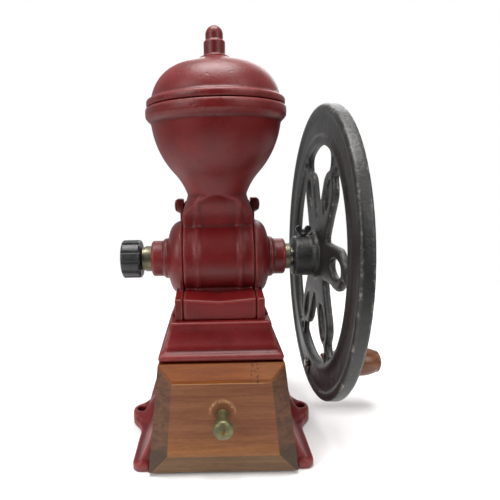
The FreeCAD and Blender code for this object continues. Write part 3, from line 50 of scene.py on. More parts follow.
def averaged(values, edges, count):
    """Each vertex's mean over its neighbours: the values at the far ends of its edges, added up
    and divided by how many there are."""
    total = np.zeros_like(values)
    for axis in range(values.shape[1]):
        total[:, axis] = (np.bincount(edges[:, 0], values[edges[:, 1], axis], count)
                          + np.bincount(edges[:, 1], values[edges[:, 0], axis], count))
    near = np.bincount(edges.ravel(), minlength=count)
    return total / np.maximum(near, 1)[:, None]


def add_attribute(mesh, name, values):
    """One number for each vertex, which a material reads by name."""
    layer = mesh.attributes.new(name, "FLOAT", "POINT")
    layer.data.foreach_set("value", values.astype(np.float32))


def cast_copy(node, voxel, rounds=3, softer=None, soft_rounds=0, reshape=None):
    """The node's own outline as sand casting leaves it. The closed mesh is rebuilt on an even
    grid, each point then moves half way to the mean of its neighbours a few times, and how far
    it stands out from that mean is kept as the attributes edge (corner) and hollow (groove).
    Where softer(points) gives a share above 0, further rounds move the point by that share of
    the way; reshape(points) gives the points their last places before the masks are taken."""
    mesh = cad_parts[node].data.copy()
    welded = bmesh.new()
    welded.from_mesh(mesh)
    bmesh.ops.remove_doubles(welded, verts=welded.verts, dist=WELD_REACH)
    welded.to_mesh(mesh)
    welded.free()
    piece = bpy.data.objects.new(node + "_cast", mesh)
    scene.collection.objects.link(piece)
    remesh = piece.modifiers.new("even grid", "REMESH")
    remesh.mode = "VOXEL"
    remesh.voxel_size = voxel
    even = bpy.data.meshes.new_from_object(
        piece.evaluated_get(bpy.context.evaluated_depsgraph_get()))
    piece.modifiers.clear()
    piece.data = even
    even.name = node + "_cast"
    even.materials.clear()
    count = len(even.vertices)
    points = np.empty(count * 3)
    even.vertices.foreach_get("co", points)
    points = points.reshape(-1, 3)
    edges = np.empty(len(even.edges) * 2, int)
    even.edges.foreach_get("vertices", edges)
    edges = edges.reshape(-1, 2)
    for _ in range(rounds):
        points = (points + averaged(points, edges, count)) / 2
    share = softer(points)[:, None] / 2 if softer is not None else 0.0
    for _ in range(soft_rounds):
        points = points + share * (averaged(points, edges, count) - points)
    if reshape is not None:
        points = reshape(points)
    even.vertices.foreach_set("co", points.ravel())
    even.update()
    normals = np.empty(count * 3)
    even.vertices.foreach_get("normal", normals)
    normals = normals.reshape(-1, 3)
    stand = ((points - averaged(points, edges, count)) * normals).sum(axis=1)[:, None] / voxel
    for _ in range(MASK_ROUNDS):
        stand = (stand + averaged(stand, edges, count)) / 2
    add_attribute(even, "edge", np.clip(stand[:, 0] * MASK_GAIN, 0, 1))
    add_attribute(even, "hollow", np.clip(-stand[:, 0] * MASK_GAIN, 0, 1))
    even.shade_smooth()
    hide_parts(node)
    return piece


def add(tree, kind, inputs, **settings):
    """One shader node. An input given another node's output is linked, any other value is set."""
    node = tree.nodes.new(kind)
    for name, value in settings.items():
        setattr(node, name, value)
    for name, value in inputs.items():
        if isinstance(value, bpy.types.NodeSocket):
            tree.links.new(value, node.inputs[name])
        else:
            node.inputs[name].default_value = value
    return node


def new_group(name, inputs, outputs):
    """An empty shader node group with its sockets: (name, kind, default) and (name, kind)."""
    tree = bpy.data.node_groups.new(name, "ShaderNodeTree")
    for label, kind, default in inputs:
        socket = tree.interface.new_socket(label, in_out="INPUT", socket_type=kind)
        if default is not None:
            socket.default_value = default
    for label, kind in outputs:
        tree.interface.new_socket(label, in_out="OUTPUT", socket_type=kind)
    return tree, tree.nodes.new("NodeGroupInput").outputs, tree.nodes.new("NodeGroupOutput").inputs


def noise(tree, where, scale, detail=2.0, roughness=0.5, distortion=0.0):
    """Fractal noise at a point, from 0 to 1."""
    return add(tree, "ShaderNodeTexNoise", {"Vector": where, "Scale": scale, "Detail": detail,
                                            "Roughness": roughness,
                                            "Distortion": distortion}).outputs["Fac"]


def fit(tree, value, low, high, to_low=0.0, to_high=1.0):
    """A value rescaled from one range to another and held inside it."""
    return add(tree, "ShaderNodeMapRange", {"Value": value, "From Min": low, "From Max": high,
                                            "To Min": to_low, "To Max": to_high}).outputs[0]


def sums(tree, operation, first, second):
    """Two values put together by a plain operation."""
    return add(tree, "ShaderNodeMath", {0: first, 1: second}, operation=operation).outputs[0]


def tint(tree, share, first, second, blend_type="MIX"):
    """The first colour going over to the second as the share goes from 0 to 1."""
    mixer = add(tree, "ShaderNodeMix", {0: share}, data_type="RGBA", blend_type=blend_type)
    for place, value in ((6, first), (7, second)):
        if isinstance(value, bpy.types.NodeSocket):
            tree.links.new(value, mixer.inputs[place])
        else:
            mixer.inputs[place].default_value = (*value, 1.0)
    return mixer.outputs[2]


def stained(tree, mask, share, base, colour):
    """The base with a colour laid over it, by a share of the mask."""
    return tint(tree, sums(tree, "MULTIPLY", mask, share), base, colour)


def kept_mask(tree, name):
    """A number that the mesh carries at each vertex."""
    return add(tree, "ShaderNodeAttribute", {}, attribute_name=name).outputs["Fac"]


def stretched(tree, where, scale):
    """A point with each of its coordinates scaled, which draws a pattern out."""
    return add(tree, "ShaderNodeMapping", {"Vector": where, "Scale": scale}).outputs[0]


def bumped(tree, height, strength, depth, below=None):
    """The surface's normal with a height pressed into it, over an earlier one if given."""
    inputs = {"Height": height, "Strength": strength, "Distance": depth}
    if below is not None:
        inputs["Normal"] = below
    return add(tree, "ShaderNodeBump", inputs).outputs["Normal"]


def use(tree, group, **inputs):
    """A group placed in a material, with its own values."""
    node = tree.nodes.new("ShaderNodeGroup")
    node.node_tree = group
    for name, value in inputs.items():
        name = name.replace("_", " ")
        if isinstance(value, bpy.types.NodeSocket):
            tree.links.new(value, node.inputs[name])
        else:
            node.inputs[name].default_value = value
    return node.outputs


def new_material(name, **plain):
    """A material with its Principled shader, the object's coordinates and any uniform values."""
    material = bpy.data.materials.new(name)
    material.use_nodes = True
    tree = material.node_tree
    shader = tree.nodes["Principled BSDF"]
    for label, value in plain.items():
        shader.inputs[label.replace("_", " ")].default_value = value
    return material, tree, shader, tree.nodes.new("ShaderNodeTexCoord").outputs["Object"]


def wire(tree, shader, **varying):
    """Values that change over the surface, linked to the shader's sockets of those names."""
    for label, value in varying.items():
        tree.links.new(value, shader.inputs[label.replace("_", " ")])


def dress(node_or_piece, material):
    """One material over the whole of a CAD node, given by name, or of a new piece."""
    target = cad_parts[node_or_piece] if isinstance(node_or_piece, str) else node_or_piece
    target.data.materials.clear()
    target.data.materials.append(material)


# Skin of a sand casting: slow swells, the sand's grain and a few pits, and blotches of tone.
SWELL_SCALE, SWELL_SHARE = 70.0, 1.4
PIT_SCALE, PIT_FROM, PIT_FULL, PIT_DEPTH = 240.0, 0.66, 0.72, -0.8
BLOTCH_SCALE, FLECK_SCALE, FLECK_FROM, FLECK_FULL = 28.0, 1100.0, 0.56, 0.72
casting_skin, given, gives = new_group(
    "casting skin", [("Vector", "NodeSocketVector", None), ("Grain", "NodeSocketFloat", 650.0)],
    [("Height", "NodeSocketFloat"), ("Blotch", "NodeSocketFloat"), ("Fleck", "NodeSocketFloat")])
swell = noise(casting_skin, given["Vector"], SWELL_SCALE, 2.0)
sand = noise(casting_skin, given["Vector"], given["Grain"], 3.0, 0.6)
pits = fit(casting_skin, noise(casting_skin, given["Vector"], PIT_SCALE, 1.0),
           PIT_FROM, PIT_FULL, 0.0, PIT_DEPTH)
relief = sums(casting_skin, "ADD", sums(casting_skin, "MULTIPLY", swell, SWELL_SHARE), sand)
casting_skin.links.new(sums(casting_skin, "ADD", relief, pits), gives["Height"])
casting_skin.links.new(noise(casting_skin, given["Vector"], BLOTCH_SCALE, 3.0, 0.6),
                       gives["Blotch"])
casting_skin.links.new(fit(casting_skin, noise(casting_skin, given["Vector"], FLECK_SCALE, 2.0,
                                               0.7), FLECK_FROM, FLECK_FULL), gives["Fleck"])

# Wear: a corner's paint rubs thin in a broken line, so the edge mask is eaten away by noise.
WEAR_SCALE, WEAR_REACH, WEAR_FROM, WEAR_FULL = 190.0, 1.5, 0.9, 1.25
edge_wear, given, gives = new_group(
    "edge wear", [("Vector", "NodeSocketVector", None), ("Edge", "NodeSocketFloat", 0.0),
                  ("Spread", "NodeSocketFloat", 0.5)], [("Mask", "NodeSocketFloat")])
broken = noise(edge_wear, given["Vector"], WEAR_SCALE, 4.0, 0.65)
worn = sums(edge_wear, "ADD", sums(edge_wear, "MULTIPLY", given["Edge"], WEAR_REACH), broken)
edge_wear.links.new(fit(edge_wear, sums(edge_wear, "SUBTRACT", worn, given["Spread"]),
                        WEAR_FROM, WEAR_FULL), gives["Mask"])


def red_paint():
    """Satin brick red over cast iron: dusty flecks, painted shade darkening the grooves, paler
    rubbed corners.
    """
    deep, mid, dusty = (0.105, 0.0016, 0.0022), (0.165, 0.0040, 0.0052), (0.28, 0.050, 0.045)
    rubbed, groove_shade = (0.32, 0.090, 0.080), (0.045, 0.002, 0.003)
    dusty_share, rubbed_share, groove_shade_share = 0.16, 0.22, 0.6
    grain, wear_spread, bump_strength, bump_depth = 620.0, 0.72, 0.35, 0.00035
    material, tree, shader, where = new_material("red paint", Specular_IOR_Level=0.45)
    skin = use(tree, casting_skin, Vector=where, Grain=grain)
    edge, hollow = kept_mask(tree, "edge"), kept_mask(tree, "hollow")
    base = tint(tree, fit(tree, skin["Blotch"], 0.35, 0.65), deep, mid)
    base = stained(tree, skin["Fleck"], dusty_share, base, dusty)
    wear = use(tree, edge_wear, Vector=where, Edge=edge, Spread=wear_spread)["Mask"]
    base = stained(tree, wear, rubbed_share, base, rubbed)
    # Painted shade: grooves and inside corners, found by the hollow mask, are darkened in the
    # colour itself.
    base = stained(tree, hollow, groove_shade_share, base, groove_shade)
    wire(tree, shader, Base_Color=base, Roughness=fit(tree, skin["Blotch"], 0.3, 0.7, 0.36, 0.48),
         Normal=bumped(tree, skin["Height"], bump_strength, bump_depth))
    return material


red = red_paint()
base = cast_copy("base", BASE_GRID)
dress(base, red)
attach(base, "frame")

# ---------------------------------------------------------------------------------------------
# Centre casting and the two end housings. One hopper, neck and drum in a piece, closed at each
# end by a cover with a boss for its bush, all cast, drilled and painted with the base.
# ---------------------------------------------------------------------------------------------
BODY_GRID, HOUSING_GRID = 0.0011, 0.00075
LEDGE_HEIGHT, LEDGE_SPAN, LEDGE_SAG = 0.1275, 0.028, 0.0021
LEDGE_BAND, LEDGE_FULL = 0.0075, 1.6
LEDGE_DEPTH, LEDGE_BLEND = 0.024, 0.003


def sagging_ledge(points):
    """The ledge over the pedestal sags to the middle of each face, where the two halves of the
    mould met: a point goes down by the sag, less the further it is across from the middle, and
    only near the ledge's height and out at the two faces."""
    middle = np.clip(1 - np.abs(points[:, 0]) / LEDGE_SPAN, 0, 1)
    level = np.clip(LEDGE_FULL - np.abs(points[:, 2] - LEDGE_HEIGHT) / LEDGE_BAND, 0, 1)
    outside = np.clip((np.abs(points[:, 1]) - LEDGE_DEPTH) / LEDGE_BLEND, 0, 1)
    moved = points.copy()
    moved[:, 2] -= LEDGE_SAG * middle * level * outside
    return moved


for name, voxel, reshape in (("mill_body", BODY_GRID, sagging_ledge),
                             ("left_housing", HOUSING_GRID, None),
                             ("right_housing", HOUSING_GRID, None)):
    casting = cast_copy(name, voxel, reshape=reshape)
    dress(casting, red)
    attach(casting, "frame")
dress("ear_screws", red)

# ---------------------------------------------------------------------------------------------
# Shaft, bushes, spring and screws. Steel turned from bar; the small screws and the shaft are
# kept bright, and the bushes and the adjusting screw are olive with old oil.
# ---------------------------------------------------------------------------------------------


def plain_steel(name, tone, roughness, rings):
    """Turned steel: fine rings round the X axis cut by the tool, dulled by old oil in blotches."""
    cloud_scale, dull_share, bump_strength, bump_depth = 160.0, 0.45, 0.25, 0.0001
    material, tree, shader, where = new_material(name, Metallic=1.0)
    cloudy = noise(tree, where, cloud_scale, 4.0, 0.6)
    dull = tuple(shade * dull_share for shade in tone)
    turned = add(tree, "ShaderNodeTexWave", {"Vector": where, "Scale": rings, "Distortion": 0.4,
                                             "Detail": 2.0, "Detail Scale": 3.0},
                 wave_type="BANDS", bands_direction="X").outputs["Fac"]
    wire(tree, shader, Base_Color=tint(tree, fit(tree, cloudy, 0.35, 0.7), tone, dull),
         Roughness=fit(tree, cloudy, 0.3, 0.7, roughness, roughness + 0.2),
         Normal=bumped(tree, turned, bump_strength, bump_depth))
    return material


bright = plain_steel("plain steel", (0.46, 0.45, 0.42), 0.27, 900.0)
oily = plain_steel("oily turned steel", (0.20, 0.185, 0.13), 0.33, 420.0)
for name in ("housing_screws", "body_screws", "fixed_burr_screws", "thrust_ball",
             "burr_drive_pin", "main_shaft", "lid_knob_screw", "drawer_knob_screw",
             "drawer_nails", "handle_bolt", "handle_nut", "handle_washer", "burr_spring"):
    dress(name, bright)
for name in ("adjusting_screw", "adjusting_bush", "shaft_bush"):
    dress(name, oily)

# ---------------------------------------------------------------------------------------------
# Burrs and feed screw. Bare cast iron inside the drum, pinned and screwed in place, never
# painted because the beans run over it.
# ---------------------------------------------------------------------------------------------


def bare_iron():
    """Bare cast iron, dark in the pores, brighter where coffee polishes it."""
    dark, polished = (0.12, 0.115, 0.11), (0.27, 0.26, 0.25)
    grain, bump_strength, bump_depth = 900.0, 0.4, 0.0003
    material, tree, shader, where = new_material("bare iron", Metallic=0.9)
    skin = use(tree, casting_skin, Vector=where, Grain=grain)
    wire(tree, shader, Base_Color=tint(tree, skin["Blotch"], dark, polished),
         Roughness=fit(tree, skin["Blotch"], 0.3, 0.7, 0.4, 0.65),
         Normal=bumped(tree, skin["Height"], bump_strength, bump_depth))
    return material


iron = bare_iron()
for name in ("fixed_burr", "moving_burr", "feed_auger"):
    dress(name, iron)

# ---------------------------------------------------------------------------------------------
# Lid and its knob. A shallow cast dome with a flat top disc, lifted by a small turned finial,
# both in the same red; the finial is held from inside by one screw.
# ---------------------------------------------------------------------------------------------
LID_GRID, FINIAL_GRID, FINIAL_ROUNDS = 0.0009, 0.00045, 2
lid = cast_copy("hopper_lid", LID_GRID)
dress(lid, red)
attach(lid, "lid")
finial = cast_copy("lid_knob", FINIAL_GRID, FINIAL_ROUNDS)
dress(finial, red)
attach(finial, "lid")

# ---------------------------------------------------------------------------------------------
# Adjusting knob. Moulded black plastic with deep finger flutes, pressed on the screw that sets
# how close the burrs run.
# ---------------------------------------------------------------------------------------------


def black_plastic():
    """Moulded black plastic, a little grey where it is handled, with a fine satin texture."""
    black, handled = (0.012, 0.013, 0.014), (0.03, 0.032, 0.034)
    cloud_scale, texture_scale, bump_strength, bump_depth = 120.0, 1500.0, 0.2, 0.0001
    material, tree, shader, where = new_material("black plastic", Specular_IOR_Level=0.5)
    cloudy = noise(tree, where, cloud_scale, 4.0, 0.6)
    texture = noise(tree, where, texture_scale, 2.0)
    wire(tree, shader, Base_Color=tint(tree, fit(tree, cloudy, 0.4, 0.7), black, handled),
         Roughness=fit(tree, cloudy, 0.3, 0.7, 0.3, 0.45),
         Normal=bumped(tree, texture, bump_strength, bump_depth))
    return material


plastic = black_plastic()
dress("adjusting_knob", plastic)

# ---------------------------------------------------------------------------------------------
# Flywheel. Cast iron in one piece with its six looped spokes, rim and hub, painted black; the
# rim's edge keeps the coarse skin of the mould and its lips are chipped to bare metal.
# ---------------------------------------------------------------------------------------------

WHEEL_GRID, WHEEL_ROUNDS = 0.0011, 2
SHAFT_HEIGHT = 0.151
SPOKES_FROM, SPOKES_TO, SPOKES_BLEND, SPOKES_ROUNDS = 0.0215, 0.0925, 0.003, 16


def black_iron():
    """Black paint on coarse iron: grey on the corners, bare metal in small chips at the lips."""
    brown_black, blue_black, dusty = ((0.009, 0.0085, 0.0078), (0.018, 0.0178, 0.0175),
                                      (0.05, 0.053, 0.056))
    rubbed, bare = (0.07, 0.073, 0.077), (0.42, 0.39, 0.35)
    dusty_share, rubbed_share, bare_shine = 0.2, 0.3, 0.8
    grain, rubbed_spread, chip_spread = 330.0, 0.85, 1.14
    bump_strength, bump_depth = 0.55, 0.0006
    material, tree, shader, where = new_material("black iron paint", Specular_IOR_Level=0.5)
    skin = use(tree, casting_skin, Vector=where, Grain=grain)
    edge = kept_mask(tree, "edge")
    base = tint(tree, fit(tree, skin["Blotch"], 0.35, 0.65), brown_black, blue_black)
    base = stained(tree, skin["Fleck"], dusty_share, base, dusty)
    wear = use(tree, edge_wear, Vector=where, Edge=edge, Spread=rubbed_spread)["Mask"]
    base = stained(tree, wear, rubbed_share, base, rubbed)
    chips = use(tree, edge_wear, Vector=where, Edge=edge, Spread=chip_spread)["Mask"]
    wire(tree, shader, Base_Color=tint(tree, chips, base, bare),
         Metallic=sums(tree, "MULTIPLY", chips, bare_shine),
         Roughness=fit(tree, skin["Blotch"], 0.3, 0.7, 0.38, 0.52),
         Normal=bumped(tree, skin["Height"], bump_strength, bump_depth))
    return material


def on_spokes(points):
    """Share from 0 to 1 of a point's being on the looped spokes, by its distance from the
    shaft: it rises past the hub and falls again at the rim's bead."""
    out = np.hypot(points[:, 1], points[:, 2] - SHAFT_HEIGHT)
    rise = np.clip((out - SPOKES_FROM) / SPOKES_BLEND, 0, 1)
    return rise * np.clip((SPOKES_TO - out) / SPOKES_BLEND, 0, 1)


black = black_iron()
wheel = cast_copy("flywheel", WHEEL_GRID, WHEEL_ROUNDS, on_spokes, SPOKES_ROUNDS)
dress(wheel, black)
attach(wheel, "shaft")

# ---------------------------------------------------------------------------------------------
# Thumb screw. A small black winged screw through the wheel's hub. Turned in by hand, it grips
# the flat on the shaft and holds the wheel.
# ---------------------------------------------------------------------------------------------
dress("thumb_screw", plastic)

# ---------------------------------------------------------------------------------------------
# Crank handle. A turned hardwood grip, stained dark and varnished. It spins on a bolt that a
# nut and a washer hold in the wheel's rim.
# ---------------------------------------------------------------------------------------------


def wood(name, pale, dark, along, roughness=0.42):
    """Sawn timber: growth bands across the grain, fibres drawn out along it, and open pores."""
    squeeze, pore_dark, bump_strength, bump_depth = 0.06, 0.45, 0.3, 0.0002
    band_scale, fibre_scale = 210.0, 1900.0
    scale = [1.0, 1.0, 1.0]
    scale["XYZ".index(along)] = squeeze
    material, tree, shader, where = new_material(name, Specular_IOR_Level=0.4)
    lengthways = stretched(tree, where, scale)
    bands = noise(tree, lengthways, band_scale, 3.0, 0.6, 1.2)
    fibre = noise(tree, lengthways, fibre_scale, 4.0, 0.7)
    base = tint(tree, fit(tree, bands, 0.3, 0.7), pale, dark)
    base = tint(tree, fit(tree, fibre, 0.5, 0.8, 0.0, 0.6), base,
                tuple(shade * pore_dark for shade in dark))
    wire(tree, shader, Base_Color=base,
         Roughness=fit(tree, fibre, 0.3, 0.7, roughness, roughness + 0.15),
         Normal=bumped(tree, fibre, bump_strength, bump_depth))
    return material


dress("handle_grip", wood("varnished handle wood", (0.20, 0.075, 0.03), (0.075, 0.024, 0.01), "X",
                          roughness=0.25))

# ---------------------------------------------------------------------------------------------
# Drawer. A nailed tray of thin pale boards behind a thick front panel with four broad bevels,
# pulled out by a turned brass knob on a screw.
# ---------------------------------------------------------------------------------------------
FIELD_TOP, FIELD_BOTTOM = 0.0695, 0.0175
FIELD_TOP_HALF, FIELD_BOTTOM_HALF = 0.0366, 0.041
TOP_MITRE, BOTTOM_MITRE = 1.13, 0.877
KNOB_HEIGHT = 0.048


def knob_distance(tree, where):
    """How far a point lies from the drawer knob's axis, which runs along Y."""
    split = add(tree, "ShaderNodeSeparateXYZ", {0: where}).outputs
    in_plane = add(tree, "ShaderNodeCombineXYZ", {
        "X": split["X"], "Z": sums(tree, "SUBTRACT", split["Z"], KNOB_HEIGHT)}).outputs[0]
    return add(tree, "ShaderNodeVectorMath", {0: in_plane}, operation="LENGTH").outputs["Value"]


def panel_wood():
    """The drawer's front: one board whose four bevels cut the grain at different angles. The
    top bevel is orange, the field redder, the sides show grey-brown end grain and the bottom
    bevel is dull. A bevel's share at a point is how far it lies outside that edge of the
    field, compared with the other edges along the mitres."""
    material, tree, shader, where = new_material("drawer front wood", Specular_IOR_Level=0.3)
    split = add(tree, "ShaderNodeSeparateXYZ", {0: where}).outputs
    across, height = split["X"], split["Z"]

    def magnitude(value):
        return sums(tree, "ABSOLUTE", value, 0.0)

    def both(first, second):
        return sums(tree, "MULTIPLY", first, second)

    def less(first, second):
        return sums(tree, "SUBTRACT", first, second)

    # Which bevel a point is on.
    top_line, foot_line, side_line = 0.0003, 0.0005, 0.0006
    field_half = fit(tree, height, FIELD_BOTTOM, FIELD_TOP, FIELD_BOTTOM_HALF, FIELD_TOP_HALF)
    out_side = sums(tree, "MAXIMUM", less(magnitude(across), field_half), 0.0)
    out_top = both(less(height, FIELD_TOP), TOP_MITRE)
    out_foot = both(less(FIELD_BOTTOM, height), BOTTOM_MITRE)
    out_ends = sums(tree, "MAXIMUM", sums(tree, "MAXIMUM", out_top, out_foot), 0.0)
    is_top = fit(tree, less(out_top, out_side), 0.0, top_line)
    is_foot = fit(tree, less(out_foot, out_side), 0.0, foot_line)
    is_side = fit(tree, less(out_side, out_ends), 0.0, side_line)

    # The grain runs across the panel.
    lengthways = stretched(tree, where, (0.07, 1.0, 1.0))
    bands = noise(tree, lengthways, 240.0, 4.0, 0.62, 0.8)
    fibre = noise(tree, lengthways, 1500.0, 4.0, 0.72)
    pores = fit(tree, noise(tree, stretched(tree, where, (0.16, 1.0, 1.0)), 2300.0, 2.0, 0.6),
                0.60, 0.70)
    cloud = noise(tree, where, 46.0, 3.0, 0.6)

    # The field: red above, orange in its lower part.
    red_pale, red_dark = (0.205, 0.082, 0.036), (0.135, 0.045, 0.020)
    orange_pale, orange_dark = (0.27, 0.110, 0.032), (0.20, 0.075, 0.022)
    orange_from, orange_full, orange_wander = 0.042, 0.024, 0.014
    reds = tint(tree, fit(tree, bands, 0.32, 0.68), red_pale, red_dark)
    orange = tint(tree, fit(tree, bands, 0.32, 0.68), orange_pale, orange_dark)
    low_down = fit(tree, sums(tree, "ADD", height, both(cloud, orange_wander)),
                   orange_from, orange_full)
    base = tint(tree, low_down, reds, orange)

    # The top bevel: deep orange, paler to the right.
    top_pale, top_dark, top_right = ((0.215, 0.058, 0.0055), (0.125, 0.026, 0.003),
                                     (0.235, 0.085, 0.028))
    right_from, right_full, right_share = 0.012, 0.034, 0.5
    top_wood = tint(tree, fit(tree, bands, 0.3, 0.7), top_pale, top_dark)
    top_wood = stained(tree, fit(tree, across, right_from, right_full), right_share, top_wood,
                       top_right)
    base = tint(tree, is_top, base, top_wood)

    # The side bevels: end grain, stained towards the bottom corners.
    side_pale, side_dark, side_stain = ((0.135, 0.060, 0.030), (0.070, 0.032, 0.019),
                                        (0.040, 0.029, 0.019))
    stain_from, stain_full, stain_wander, stain_share = 0.031, 0.026, 0.012, 0.75
    side_wood = tint(tree, fit(tree, bands, 0.35, 0.65), side_pale, side_dark)
    corner_stain = fit(tree, sums(tree, "ADD", height, both(cloud, stain_wander)),
                       stain_from, stain_full)
    side_wood = stained(tree, corner_stain, stain_share, side_wood, side_stain)
    base = tint(tree, is_side, base, side_wood)

    # The bottom bevel, and the dark fibres and pores over the whole panel.
    foot_pale, foot_dark = (0.165, 0.088, 0.040), (0.095, 0.050, 0.024)
    fibre_dark, fibre_share = (0.055, 0.022, 0.010), 0.45
    pore_dark, pore_share = (0.030, 0.012, 0.006), 0.4
    base = tint(tree, is_foot, base, tint(tree, fit(tree, bands, 0.3, 0.7), foot_pale, foot_dark))
    base = stained(tree, fit(tree, fibre, 0.5, 0.75), fibre_share, base, fibre_dark)
    base = stained(tree, pores, pore_share, base, pore_dark)

    # The arris between field and top bevel carries a painted highlight: a thin pale line, broken
    # in places.
    arris_highlight, arris_edge, arris_core, arris_end = (0.42, 0.22, 0.10), 0.0005, 0.0001, 0.0004
    arris = both(fit(tree, magnitude(out_top), arris_edge, arris_core),
                 fit(tree, cloud, 0.35, 0.5, 0.2, 0.75))
    base = stained(tree, arris, fit(tree, out_side, arris_end, 0.0), base, arris_highlight)

    # Round the knob: a ragged pale ring above it, and an oily stain close to it.
    ring_pale, ring_share, ring_radius, ring_wander = (0.46, 0.27, 0.13), 0.85, 0.0118, 0.0045
    ring_edge, ring_core = 0.0016, 0.0004
    above_from, above_full = KNOB_HEIGHT - 0.001, KNOB_HEIGHT + 0.004
    oil_dark, oil_share, oil_edge, oil_core = (0.085, 0.032, 0.006), 0.55, 0.0085, 0.0055
    from_knob = knob_distance(tree, where)
    ragged = noise(tree, where, 520.0, 4.0, 0.7, 0.6)
    ring_far = magnitude(less(sums(tree, "ADD", from_knob, both(ragged, ring_wander)),
                              ring_radius))
    ring = both(fit(tree, ring_far, ring_edge, ring_core),
                fit(tree, height, above_from, above_full))
    ring = both(ring, fit(tree, ragged, 0.42, 0.62))
    base = stained(tree, ring, ring_share, base, ring_pale)
    base = stained(tree, fit(tree, from_knob, oil_edge, oil_core), oil_share, base, oil_dark)

    # A cluster of fine dark cracks in the top bevel.
    crack_dark, crack_share, crack_place = (0.040, 0.013, 0.004), 0.8, 0.0245
    crack_edge, crack_core = 0.0042, 0.0022
    cracks = both(fit(tree, magnitude(less(across, crack_place)), crack_edge, crack_core),
                  fit(tree, noise(tree, stretched(tree, where, (1.0, 1.0, 0.45)), 620.0, 3.0,
                                  0.6), 0.54, 0.60))
    base = stained(tree, both(cracks, is_top), crack_share, base, crack_dark)

    fibre_bump, fibre_depth, pore_bump, pore_depth = 0.45, 0.0003, 0.3, 0.0002
    below = bumped(tree, fibre, fibre_bump, fibre_depth)
    wire(tree, shader, Base_Color=base, Roughness=fit(tree, fibre, 0.3, 0.7, 0.46, 0.62),
         Normal=bumped(tree, pores, pore_bump, pore_depth, below))
    return material


dress("drawer_front", panel_wood())
BOARD_PALE, BOARD_DARK = (0.56, 0.36, 0.19), (0.42, 0.24, 0.11)
tray = wood("tray wood", BOARD_PALE, BOARD_DARK, "Y", roughness=0.6)
crosswise = wood("tray end wood", BOARD_PALE, BOARD_DARK, "X", roughness=0.6)
for name in ("drawer_left_side", "drawer_right_side", "drawer_bottom"):
    dress(name, tray)
dress("drawer_back", crosswise)


def aged_brass():
    """Drawer knob: brass gone olive, with a grey-green bloom round the head and a small brown
    centre mark left by the lathe."""
    olive, dark, bloomed, centre_mark = ((0.21, 0.175, 0.065), (0.075, 0.072, 0.035),
                                         (0.115, 0.120, 0.075), (0.125, 0.075, 0.018))
    bloom_from, bloom_full, mark_edge, mark_core = 0.0015, 0.0050, 0.0017, 0.0009
    bump_strength, bump_depth = 0.3, 0.0002
    material, tree, shader, where = new_material("aged brass", Metallic=0.75)
    out = knob_distance(tree, where)
    cloudy = noise(tree, where, 260.0, 4.0, 0.65)
    metal = tint(tree, fit(tree, cloudy, 0.35, 0.65), olive, dark)
    bloom = sums(tree, "MULTIPLY", fit(tree, out, bloom_from, bloom_full),
                 fit(tree, cloudy, 0.3, 0.6, 0.25, 0.7))
    metal = tint(tree, bloom, metal, bloomed)
    metal = tint(tree, fit(tree, out, mark_edge, mark_core), metal, centre_mark)
    wire(tree, shader, Base_Color=metal, Roughness=fit(tree, cloudy, 0.3, 0.7, 0.34, 0.58),
         Normal=bumped(tree, cloudy, bump_strength, bump_depth))
    return material


dress("drawer_knob", aged_brass())

# ---------------------------------------------------------------------------------------------
# Studio. A pale floor that fades away behind, soft lights all round, and a camera at the height
# of someone sitting at the table.
# ---------------------------------------------------------------------------------------------
FLOOR_RADIUS, FLOOR_SIDES = 6.0, 64
FADE_FROM, FADE_TO = 0.22, 0.75
floor_mesh = bpy.data.meshes.new("floor")
turns = np.linspace(0, 2 * math.pi, FLOOR_SIDES, endpoint=False)
rim = np.column_stack([FLOOR_RADIUS * np.cos(turns), FLOOR_RADIUS * np.sin(turns),
                       np.zeros_like(turns)])
floor_mesh.from_pydata(rim.tolist(), [], [list(range(len(rim)))])
floor = bpy.data.objects.new("floor", floor_mesh)
scene.collection.objects.link(floor)
pale, tree, shader, where = new_material("pale floor", Roughness=0.9)
wire(tree, shader, Base_Color=tint(tree, noise(tree, where, 3.0), (0.86, 0.86, 0.86),
                                   (0.89, 0.89, 0.89)))
away = add(tree, "ShaderNodeVectorMath", {0: where}, operation="LENGTH").outputs["Value"]
open_air = add(tree, "ShaderNodeBsdfTransparent", {}).outputs[0]
blend = add(tree, "ShaderNodeMixShader", {0: fit(tree, away, FADE_FROM, FADE_TO),
                                          1: shader.outputs[0], 2: open_air})
tree.links.new(blend.outputs[0], tree.nodes["Material Output"].inputs["Surface"])
floor_mesh.materials.append(pale)

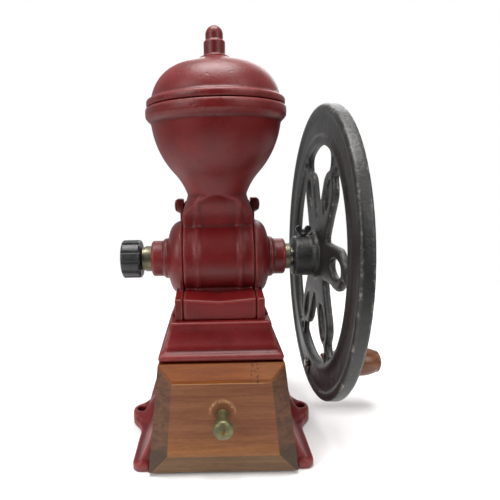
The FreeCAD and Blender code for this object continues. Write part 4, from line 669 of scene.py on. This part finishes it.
AIM = (0.0, 0.0, 0.16)
for name, place, size, watts, colour in (
        ("top_light", (0.0, -0.05, 1.5), (0.9, 0.7), 26.0, (1.0, 0.98, 0.96)),
        ("left_window", (-1.1, -0.9, 0.9), (0.6, 0.9), 12.0, (1.0, 0.99, 0.98)),
        ("right_window", (1.0, -1.05, 1.0), (0.6, 0.9), 10.0, (1.0, 0.99, 0.98)),
        ("back_light", (0.3, 1.3, 1.0), (1.0, 0.8), 9.0, (1.0, 1.0, 1.0))):
    lamp = bpy.data.lights.new(name, "AREA")
    lamp.shape = "RECTANGLE"
    lamp.size, lamp.size_y = size
    lamp.energy = watts
    lamp.color = colour
    light = bpy.data.objects.new(name, lamp)
    scene.collection.objects.link(light)
    light.location = place
    downward = Vector(AIM) - Vector(place)
    light.rotation_euler = downward.to_track_quat("-Z", "Y").to_euler()

# The room is bright to the camera, and lights the object mostly from behind.
ROOM_FROM, ROOM_TO, ROOM_LEAST, ROOM_MOST = -0.95, 0.35, 0.0, 0.5
world = bpy.data.worlds.new("pale room")
scene.world = world
world.use_nodes = True
room = world.node_tree.nodes["Background"]
room.inputs["Color"].default_value = (1.0, 1.0, 1.0, 1.0)
side = add(world.node_tree, "ShaderNodeSeparateXYZ",
           {0: world.node_tree.nodes.new("ShaderNodeTexCoord").outputs["Generated"]}).outputs["Y"]
lit = fit(world.node_tree, side, ROOM_FROM, ROOM_TO, ROOM_LEAST, ROOM_MOST)
seen = world.node_tree.nodes.new("ShaderNodeLightPath").outputs["Is Camera Ray"]
strength = sums(world.node_tree, "MAXIMUM", seen, lit)
world.node_tree.links.new(strength, room.inputs["Strength"])

CAMERA_PLACE = (-0.004225, -0.366783, 0.215477)
YAW, PITCH, ROLL = 0.002912, -0.223450, 0.021906
LENS_MM, SENSOR_MM = 31.4918, 36.0
SHIFT_ACROSS, SHIFT_UP = 0.074908, 0.057938
NEAREST_SEEN = 0.01


def turn_about(axis, angle):
    """Rotation by an angle about one of the three axes."""
    return Matrix.Rotation(angle, 3, axis)


heading = turn_about("Z", YAW) @ turn_about("X", PITCH) @ turn_about("Y", ROLL)
lens = bpy.data.cameras.new("camera")
lens.sensor_width = SENSOR_MM
lens.lens = LENS_MM
lens.shift_x = SHIFT_ACROSS
lens.shift_y = SHIFT_UP
lens.clip_start = NEAREST_SEEN
camera = bpy.data.objects.new("camera", lens)
scene.collection.objects.link(camera)
camera.location = CAMERA_PLACE
camera.rotation_euler = (heading @ turn_about("X", math.pi / 2)).to_euler()
scene.camera = camera
scene.view_settings.view_transform = "Standard"
